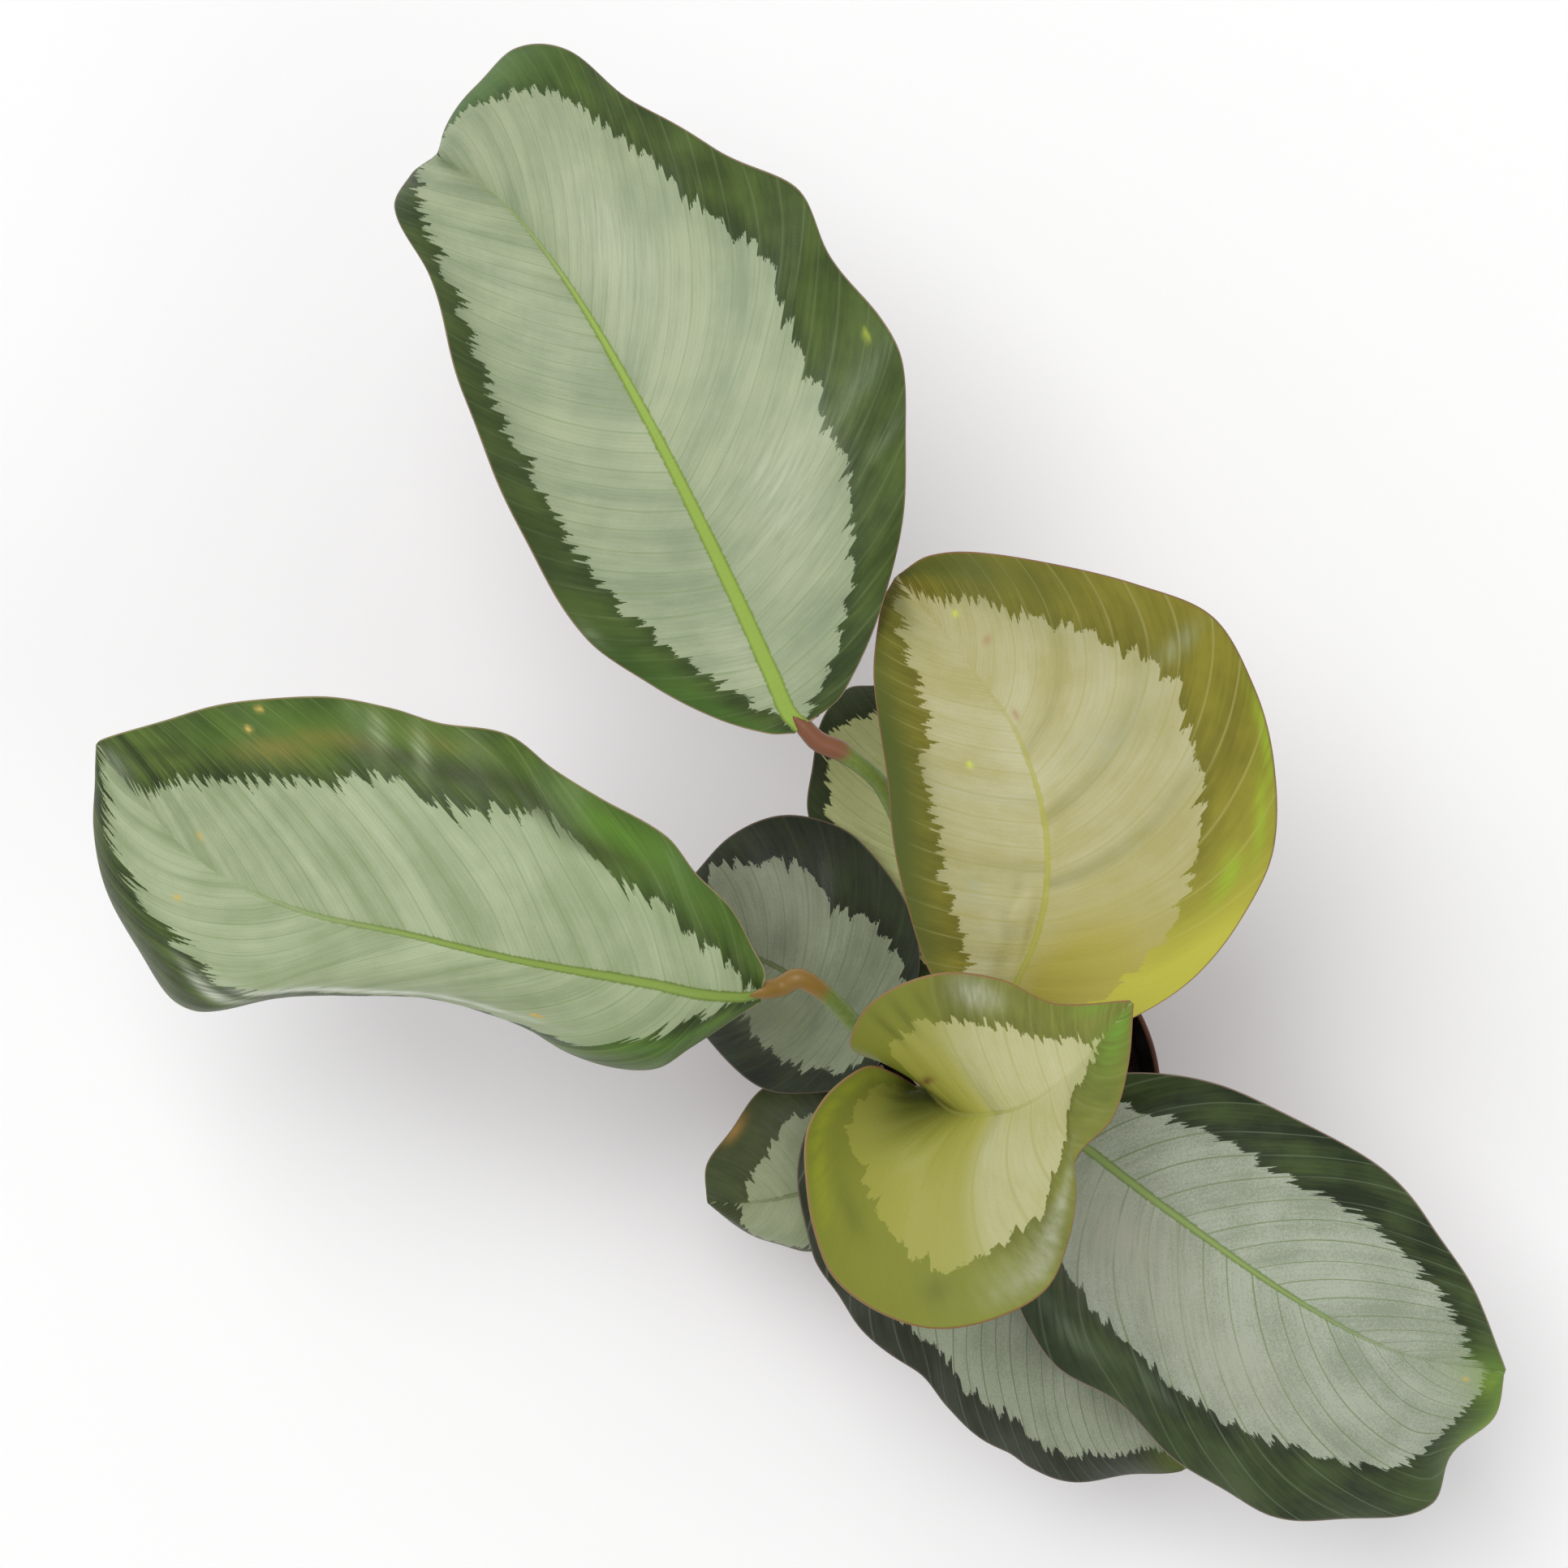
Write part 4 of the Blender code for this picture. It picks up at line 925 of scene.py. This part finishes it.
# Leaf C
# A young broad leaf at the upper right, still olive yellow, with a cream centre that has yet to
# turn silver, and a puckered bulge beside the base of its midrib.
grow(
    "c",
    midrib=[(-1, 26, 214), (2, 36, 219), (7, 48, 223), (10, 63, 226), (9, 82, 225), (2, 103, 220),
        (-8, 118, 212), (-16, 129, 204), (-28, 144, 192)],
    left=[(-8, 28, 213), (-14, 32, 211), (-20, 40, 210), (-25, 54, 209), (-29, 73, 207), (-31, 90, 206),
        (-34, 114, 203), (-34, 124, 200), (-32, 137, 195)],
    right=[(7, 24, 213), (19, 22, 212), (36, 29, 212), (50, 39, 212), (62, 54, 213), (70, 71, 213),
        (70, 94, 212), (65.5, 114, 210), (55, 132.5, 207), (35, 141, 205), (13, 147, 203), (-8, 150, 200),
        (-20, 149, 195)],
    left_arch=(0.06, 0.08, 0.08), right_arch=(0.05, 0.07, 0.08), left_ruffle=(0.5, 3, 0.0),
    right_ruffle=(0.9, 4, 0.4), foot=(8, 4), stalk=[(8, 8, 112), (4, 14, 160), (-1, 18, 198)],
    left_veins=(1.0, 1.6), right_veins=(0.8, 2.1), vein_step=6.5, pillow=0.25, pleat=1.3, rib_width=2.1,
    left_silver=[0.3, 0.55, 0.6, 0.69, 0.67, 0.72, 0.59, 0.6, 0.67, 0.7, 0.2],
    right_silver=[0.45, 0.6, 0.63, 0.63, 0.65, 0.68, 0.67, 0.56, 0.5, 0.24, -0.25], tooth=0.95,
    vein_ink=0.4, vein_show=1.8, beside=0.35, grain=0.3, rib_end=0.78, mesh=(160, 60), slot="young_blade",
    silver_deep="#a9a36b", silver_pale="#b8b48b", green_deep="#6a651a", green_pale="#878028",
    vein_green="#a09c58", vein_pale="#9a9450", rib="#a9a74f", rib_sides=0.92, margin="#96694d",
    # Partly painted light: a glow through the thin blade near its base, and a highlight on the right border
    glow=[(0.1, 0.5, 0.14, 0.6, 0.9), (0.15, 1.0, 0.16, 0.25, 0.9), (0.16, 0.3, 0.12, 0.3, 0.5)],
    glow_border="#bab744", glow_centre="#aca24a",
    gloom=[(0.45, -0.98, 0.4, 0.24, 1.1), (0.92, 0.8, 0.25, 0.3, 0.9), (0.9, -0.6, 0.1, 0.3, 0.6)],
    gloom_colour="#515b22",
    puckers=[(0.23, -0.19, 0.035, 0.08, 2.2), (0.17, -0.3, 0.04, 0.06, 1.0),
        (0.21, -0.05, 0.06, 0.03, -0.8)],
    creases=[("right", 57.5, 0.6, 1.8), ("right", 39.9, 0.7, 2.0), ("right", 76.0, 0.4, 1.5),
        ("left", 44.0, 0.4, 1.8), ("left", 62.0, 0.3, 1.5)],
    # Painted shade darkens the creases
    crease_ink=0.4,
    tints=[
        # Painted shade: olive rims round the puckered bulge
        ("#8b8738", [(0.29, -0.18, 0.03, 0.05, 0.35), (0.2, -0.07, 0.06, 0.03, 0.5),
                    (0.15, -0.24, 0.04, 0.08, 0.4)]),
        ("#96b42c", [(0.28, 0.8, 0.025, 0.05, 0.8), (0.33, 0.92, 0.04, 0.03, 0.7),
                    (0.4, 0.98, 0.05, 0.03, 0.6)]),
        # Painted sheen: pale greyish streaks and patches
        ("#9ea688", [(0.54, 0.8, 0.012, 0.12, 0.35), (0.29, -0.47, 0.03, 0.06, 0.4),
                    (0.5, 0.35, 0.03, 0.2, 0.3)]),
        ("#a3835a", [(0.75, 0.23, 0.008, 0.05, 0.7), (0.61, 0.04, 0.012, 0.015, 0.8)])],
    specks=[(0.83, 0.25), (0.52, -0.37)], speck_colour="#c2cc55",
    **DULL_GREEN, **GREEN_STEM)

# Leaf D
# The newest leaf, in the middle and on top: a yellow-green funnel that is still unrolling, whose
# two halves rise steeply from a deep throat, painted dark as shade, and then lean out flat.
grow(
    "d",
    midrib=[(-21, 11, 205), (-17, 6, 222), (-11, 4, 236), (-2, 5, 243), (7, 9, 246), (18, 18, 246),
        (31, 33, 240)],
    left=[(-24, 14, 210), (-30.5, 17, 221), (-37.5, 18.6, 233), (-41, 22.5, 243), (-37, 32, 251),
        (-28, 38, 254), (-16, 41, 255), (-2, 39, 251), (11, 33, 245)],
    right=[(-24.8, 11, 213.5), (-29.5, 14.2, 226.5), (-36, 16.3, 237.5), (-42, 13.5, 243), (-48, 8, 247),
        (-52, 0, 249), (-52, -12, 250), (-50, -25, 248), (-45, -37, 244), (-34, -46, 240), (-20, -51, 236),
        (-5, -49, 235), (9, -41, 236), (15, -28, 238), (17, -16, 240), (17, -7, 240), (26, 3, 240),
        (30, 17, 240)],
    left_arch=(-0.38, -0.1, 0.0), right_arch=(-0.5, -0.07, 0.0), left_up=(0.1, -0.7, 0.7),
    right_up=(0.1, 0.7, 0.7), fan=(1.3, 1.5), left_ruffle=(0.3, 3, 0.0), right_ruffle=(0.5, 4, 0.5),
    foot=(0, -4), stalk=[(-3, -3, 112), (-11, 4, 160), (-19, 9, 190)], left_veins=(1.2, 1.7),
    right_veins=(1.15, 1.95), vein_step=5.5, pillow=0.2, rib_width=2.0,
    left_silver=[0.1, 0.1, 0.15, 0.25, 0.72, 0.71, 0.6, 0.47, 0.33, -0.25, -0.25],
    right_silver=[0.5, 0.7, 0.7, 0.6, 0.65, 0.74, 0.67, 0.57, 0.1, -0.25, -0.25], tooth=0.9, vein_ink=0.35,
    vein_show=0.5, beside=0.35, grain=0.3, rib_end=0.72, mesh=(160, 60), slot="new_blade",
    silver_deep="#aeac74", silver_pale="#b9b88c", green_deep="#696d2b", green_pale="#7e8236",
    vein_green="#9a9a52", vein_pale="#9c9f62", rib="#a0a04e", rib_sides=0.85, margin="#8f5f45",
    creases=[("both", 42.0, 0.9, 2.2)], older=(42.0, 2.5, 0.75),
    glow=[(0.08, 0.5, 0.24, 0.8, 1.5), (0.08, -0.4, 0.24, 0.8, 1.4)], glow_border="#7f8430",
    glow_centre="#9a9942",
    # Painted shade in the throat and cup, and thin dark streaks in the border
    gloom=[(0.04, 0.0, 0.2, 1.1, 1.0), (0.22, 0.22, 0.1, 0.22, 0.4), (0.46, -0.8, 0.008, 0.16, 0.5),
        (0.42, -0.78, 0.008, 0.16, 0.5), (0.5, -0.84, 0.008, 0.12, 0.4), (0.5, 0.84, 0.015, 0.06, 0.4),
        (0.36, 0.76, 0.04, 0.05, 0.3)],
    gloom_colour="#535b23",
    tints=[
        # Painted reflection: whitish grey-green patches on the border
        ("#a4a88a", [(0.6, -0.84, 0.04, 0.12, 0.9), (0.65, 0.8, 0.07, 0.08, 0.7),
                    (0.6, 0.9, 0.04, 0.06, 0.6)]),
        ("#6f9434", [(0.92, 0.3, 0.1, 0.5, 0.9), (0.86, -0.85, 0.06, 0.2, 0.6)]),
        ("#929c2a", [(0.27, 0.9, 0.1, 0.08, 0.7)]),
        ("#6a4426", [(0.37, -0.33, 0.03, 0.03, 0.9)])],
    **DULL_GREEN, **GREEN_STEM)

# Leaf E
# A dark mature leaf at the lower right, low and broad, its silver fine-grained and crossed by
# thread-thin green veins, its tip fresh green.
grow(
    "e",
    midrib=[(15, -3, 134), (26, -12, 141), (50, -30, 148), (83, -53, 146), (111, -68, 138),
        (144, -76, 120)],
    left=[(20, 3, 135), (36, 9, 138), (62, 6, 140), (84, -4, 142), (107, -17, 140), (125, -38, 136),
        (138, -60, 128)],
    right=[(9, -9, 132), (3, -25, 130), (3, -41, 128), (7, -57, 126), (18, -73, 125), (38, -87, 122),
        (55, -103, 118), (65, -110, 116), (80, -116.5, 114), (105, -119, 112), (124.5, -113, 112),
        (130, -101, 114), (141, -89.5, 116)],
    left_arch=(0.06, 0.08, 0.12), right_arch=(0.05, 0.09, 0.12), left_ruffle=(1.2, 5, 0.1),
    right_ruffle=(1.8, 6, 0.4), foot=(8, -7), stalk=[(7, -5, 104), (8, -1, 122)], left_veins=(0.7, 2.2),
    right_veins=(0.8, 2.3), vein_step=8.2, pillow=0.3, rib_width=3.0,
    left_silver=[0.4, 0.6, 0.6, 0.63, 0.6, 0.65, 0.7, 0.72, 0.67, 0.33, -0.25],
    right_silver=[0.45, 0.62, 0.57, 0.66, 0.65, 0.62, 0.63, 0.67, 0.71, 0.5, -0.25], tooth=0.8, thread=0.36,
    hair=0.06, vein_ink=0.8, vein_show=0.7, beside=0.5, grain=1.4, rib_end=0.9, mesh=(170, 58),
    slot="mature_blade", silver_deep="#8c9580", silver_pale="#a9b19e", green_deep="#1f2b14",
    green_pale="#43522a", vein_green="#6b7d4c", vein_pale="#66735a", rib="#8aa05c", margin="#a08a78",
    specks=[(0.89, 0.22)], glow=[(1.0, 0.0, 0.12, 1.6, 1.2), (0.9, 1.0, 0.15, 0.2, 0.7)],
    glow_border="#638134", glow_centre="#93a374", gloom=[(0.1, 0.98, 0.3, 0.2, 0.4)],
    gloom_colour="#2c3824",
    tints=[
        ("#abac99", [(0.24, 0.25, 0.14, 0.25, 0.8), (0.45, 0.4, 0.12, 0.15, 0.5)]),
        ("#66735c", [(0.24, 0.8, 0.05, 0.06, 0.6), (0.36, 0.74, 0.03, 0.05, 0.5)]),
        ("#7d9a35", [(0.95, 0.48, 0.05, 0.25, 0.6), (0.86, 1.0, 0.05, 0.08, 0.7)])],
    **WINE, **GREEN_STEM)

# Leaf F
# A dark leaf under D and E, whose waved and pleated border shows at the lower left.
grow(
    "f",
    midrib=[(-32, 6, 103), (-21, -7, 108), (-7, -22, 111), (16, -50, 111), (40, -80, 104), (57, -107, 91)],
    left=[(-25, 4, 103), (-18, -3, 105), (-9, -10, 106), (12, -22, 107), (37, -40, 107), (54, -61, 103),
        (62, -82, 97), (62, -98, 92)],
    right=[(-40, 3, 103), (-50, -6, 103), (-54, -22, 104), (-50, -44, 102), (-43, -55, 101),
        (-36, -67, 100), (-20, -78, 98), (-12, -89, 96), (6, -102.5, 92), (12, -107.5, 90.5),
        (21, -110, 89), (43, -110, 87)],
    left_arch=(0.05, 0.08, 0.08), right_arch=(0.06, 0.14, 0.15), left_ruffle=(0.8, 4, 0.0),
    right_ruffle=(2.2, 6, 0.2), foot=(-27, 18), stalk=[(-31, 16, 93)], left_veins=(0.8, 2.1),
    right_veins=(0.8, 2.1), vein_step=4.9, pillow=0.35, rib_width=2.6,
    left_silver=[0.4, 0.5, 0.6, 0.65, 0.65, 0.65, 0.65, 0.62, 0.55, 0.35, -0.25],
    right_silver=[0.45, 0.6, 0.65, 0.7, 0.78, 0.8, 0.78, 0.77, 0.68, 0.35, -0.25], tooth=0.8, thread=0.34,
    hair=0.1, vein_ink=0.7, vein_show=0.8, beside=0.4, grain=1.2, rib_end=0.9, mesh=(150, 50),
    slot="shaded_blade", silver_deep="#858e76", silver_pale="#9ca48e", green_deep="#262c1b",
    green_pale="#3e4235", vein_green="#5f6c4b", vein_pale="#5a6053", rib="#7d8c55", margin="#6b5a4c",
    glow=[(0.97, 0.0, 0.08, 1.2, 0.8)], glow_border="#6b7c33", glow_centre="#7c8a60",
    **WINE, **GREEN_STEM)

# Leaf G
# The smallest and lowest leaf, at the left. Its far border is wide, the near one is folded under.
grow(
    "g",
    midrib=[(-28, -19, 92), (-36, -22, 95), (-50, -27, 96), (-62, -30, 94), (-73, -31, 89), (-80, -31, 84)],
    right=[(-31, -12, 94), (-40, -1, 96), (-52, 5, 96), (-64, 2, 94), (-73, -10, 92), (-80, -20, 88)],
    left=[(-32, -27, 93), (-40, -41, 93), (-51, -45, 91), (-60, -43, 88), (-72, -38, 85)],
    left_arch=(0.12, 0.45, 0.35), right_arch=(0.08, 0.1, 0.1), left_ruffle=(0.6, 3, 0.0),
    right_ruffle=(0.8, 3, 0.4), foot=(-15, -11), stalk=[(-18, -13, 86)], left_veins=(0.9, 1.8),
    right_veins=(0.9, 1.8), vein_step=4.5, pillow=0.2, rib_width=2.0,
    left_silver=[0.6, 0.8, 0.9, 0.9, 0.9, 0.95, 0.95, 0.85, 0.1, -0.25, -0.25],
    right_silver=[0.4, 0.55, 0.62, 0.65, 0.65, 0.58, 0.48, 0.28, -0.25, -0.25, -0.25], tooth=0.7,
    vein_ink=0.2, vein_show=0.6, beside=0.3, grain=0.4, rib_end=0.9, mesh=(110, 40), slot="shaded_blade",
    silver_deep="#838d6a", silver_pale="#969f7e", green_deep="#374122", green_pale="#4a5430",
    vein_green="#6d7a52", vein_pale="#5d6845", rib="#7f8c5c", margin="#7c6a4c",
    glow=[(0.6, 0.97, 0.06, 0.08, 1.0)], glow_border="#9a7a3c", glow_centre="#8d9678",
    **WINE, **GREEN_STEM)

# Leaf H
# A dark broad leaf left of the middle, in the shade of B's stalk and of the leaves above it.
grow(
    "h",
    midrib=[(-29, 15, 124), (-41, 26, 130), (-60, 38, 133), (-77, 45, 129), (-94, 50, 119)],
    right=[(-25, 21, 123), (-20, 38, 123), (-24, 56, 125), (-37, 73, 127), (-48, 79, 127), (-60, 80, 126),
        (-73, 74, 124), (-83, 64, 121)],
    left=[(-33, 8, 122), (-40, 4, 121), (-50, 2, 120), (-62, 3, 119), (-73, 10, 118), (-81, 19, 117),
        (-90, 35, 117)],
    left_arch=(0.06, 0.12, 0.12), right_arch=(0.06, 0.1, 0.1), left_ruffle=(0.8, 3, 0.0),
    right_ruffle=(1.0, 4, 0.3), foot=(-12, 8), stalk=[(-17, 10, 104), (-24, 12, 117)],
    left_veins=(0.9, 1.6), right_veins=(0.9, 1.7), vein_step=5.0, pillow=0.25, rib_width=2.4,
    left_silver=[0.4, 0.65, 0.71, 0.67, 0.65, 0.56, 0.6, 0.55, 0.5, 0.3, -0.25],
    right_silver=[0.4, 0.65, 0.68, 0.61, 0.52, 0.66, 0.68, 0.87, 0.7, 0.4, -0.25], tooth=1.0, vein_ink=0.35,
    vein_show=0.6, beside=0.4, grain=0.5, rib_end=0.9, mesh=(140, 50), slot="shaded_blade",
    silver_deep="#757e67", silver_pale="#909980", green_deep="#20261a", green_pale="#333d27",
    vein_green="#57643f", vein_pale="#46523a", rib="#6f7d50", margin="#6b5848",
    tints=[("#8b9672", [(0.45, -0.35, 0.25, 0.25, 0.6)])],
    **WINE, **GREEN_STEM)

# Leaf I
# A low leaf behind C and the stalk of A, most of it hidden from above.
grow(
    "i",
    midrib=[(-11, 28, 109), (-14, 51, 115), (-19, 79, 117), (-26, 104, 111), (-31, 117, 103)],
    left=[(-18, 31, 109), (-30, 44, 110), (-42, 61, 111), (-51, 80, 111), (-50, 94, 109), (-47, 107, 105),
        (-40, 116, 102)],
    right=[(-4, 31, 109), (2, 48, 112), (1, 72, 113), (-5, 92, 109), (-12, 109, 104), (-22, 117, 101)],
    left_arch=(0.06, 0.1, 0.1), right_arch=(0.06, 0.1, 0.1), left_ruffle=(0.6, 4, 0.0),
    right_ruffle=(0.6, 4, 0.5), foot=(-4, 14), stalk=[(-7, 20, 98)], left_veins=(0.9, 1.7),
    right_veins=(0.9, 1.7), vein_step=5.0, pillow=0.25, rib_width=2.4,
    left_silver=[0.3, 0.4, 0.6, 0.65, 0.72, 0.81, 0.85, 0.88, 0.57, 0.08, -0.25],
    right_silver=[0.4, 0.55, 0.62, 0.65, 0.65, 0.65, 0.62, 0.6, 0.5, 0.2, -0.25], tooth=0.8, vein_ink=0.25,
    vein_show=0.6, beside=0.4, grain=0.4, rib_end=0.9, mesh=(130, 46), slot="shaded_blade",
    silver_deep="#b0b97a", silver_pale="#c6cd90", green_deep="#2c3818", green_pale="#3c4a22",
    vein_green="#6a7a45", vein_pale="#4f5d34", rib="#8b9a50", margin="#7a6648",
    **WINE, **GREEN_STEM)

# The floor, the light and the camera
# A matt white sweep under soft studio light from above and the left, and a camera that looks
# straight down from 1.5 m, as the photograph was taken. Sizes here are in metres.
FLOOR_HALF = 3.0
AIM = (-0.05, 0.05, 0.15)
CAMERA_PLACE = (-0.0579, 0.0888, 1.5)
FOCAL_PIXELS = 6072.0
IMAGE_PIXELS = 1932.0
SENSOR = 36.0

paper, paper_shader, paper_place = new_material("matt_white_paper")
paper_tooth = add_node(paper, "TexNoise", {"Vector": paper_place, "Scale": 900.0})
paper_bump = add_node(paper, "Bump", {"Height": paper_tooth, "Strength": 0.1, "Distance": 0.0002})
fill(paper_shader, {"Normal": paper_bump, "Base Color": srgb("#fcfcfc"), "Roughness": 0.9})
floor_shape = bmesh.new()
bmesh.ops.create_grid(floor_shape, x_segments=2, y_segments=2, size=FLOOR_HALF)
floor = add_object("floor", floor_shape)
floor.data.materials.append(paper)

world = bpy.data.worlds.new("soft_room")
world.use_nodes = True
fill(world.node_tree.nodes["Background"], {"Color": (1.0, 1.0, 1.0, 1.0), "Strength": 0.6})
bpy.context.scene.world = world

# Two square soft boxes: (name, place, size, watts)
SOFT_BOXES = (("key_light", (-0.6, 0.8, 2.8), 1.3, 36.0), ("fill_light", (1.2, -0.9, 2.2), 1.6, 8.0))
for name, place, size, power in SOFT_BOXES:
    light = bpy.data.lights.new(name, "AREA")
    light.shape = "SQUARE"
    light.size = size
    light.energy = power
    lamp = bpy.data.objects.new(name, light)
    lamp.location = place
    lamp.rotation_euler = (Vector(AIM) - Vector(place)).to_track_quat("-Z", "Y").to_euler()
    lamp.visible_camera = False
    bpy.context.scene.collection.objects.link(lamp)

camera_data = bpy.data.cameras.new("camera")
camera_data.sensor_width = SENSOR
camera_data.lens = FOCAL_PIXELS / IMAGE_PIXELS * SENSOR
camera = bpy.data.objects.new("camera", camera_data)
camera.location = CAMERA_PLACE
bpy.context.scene.collection.objects.link(camera)
bpy.context.scene.camera = camera
bpy.context.scene.view_settings.view_transform = "Standard"
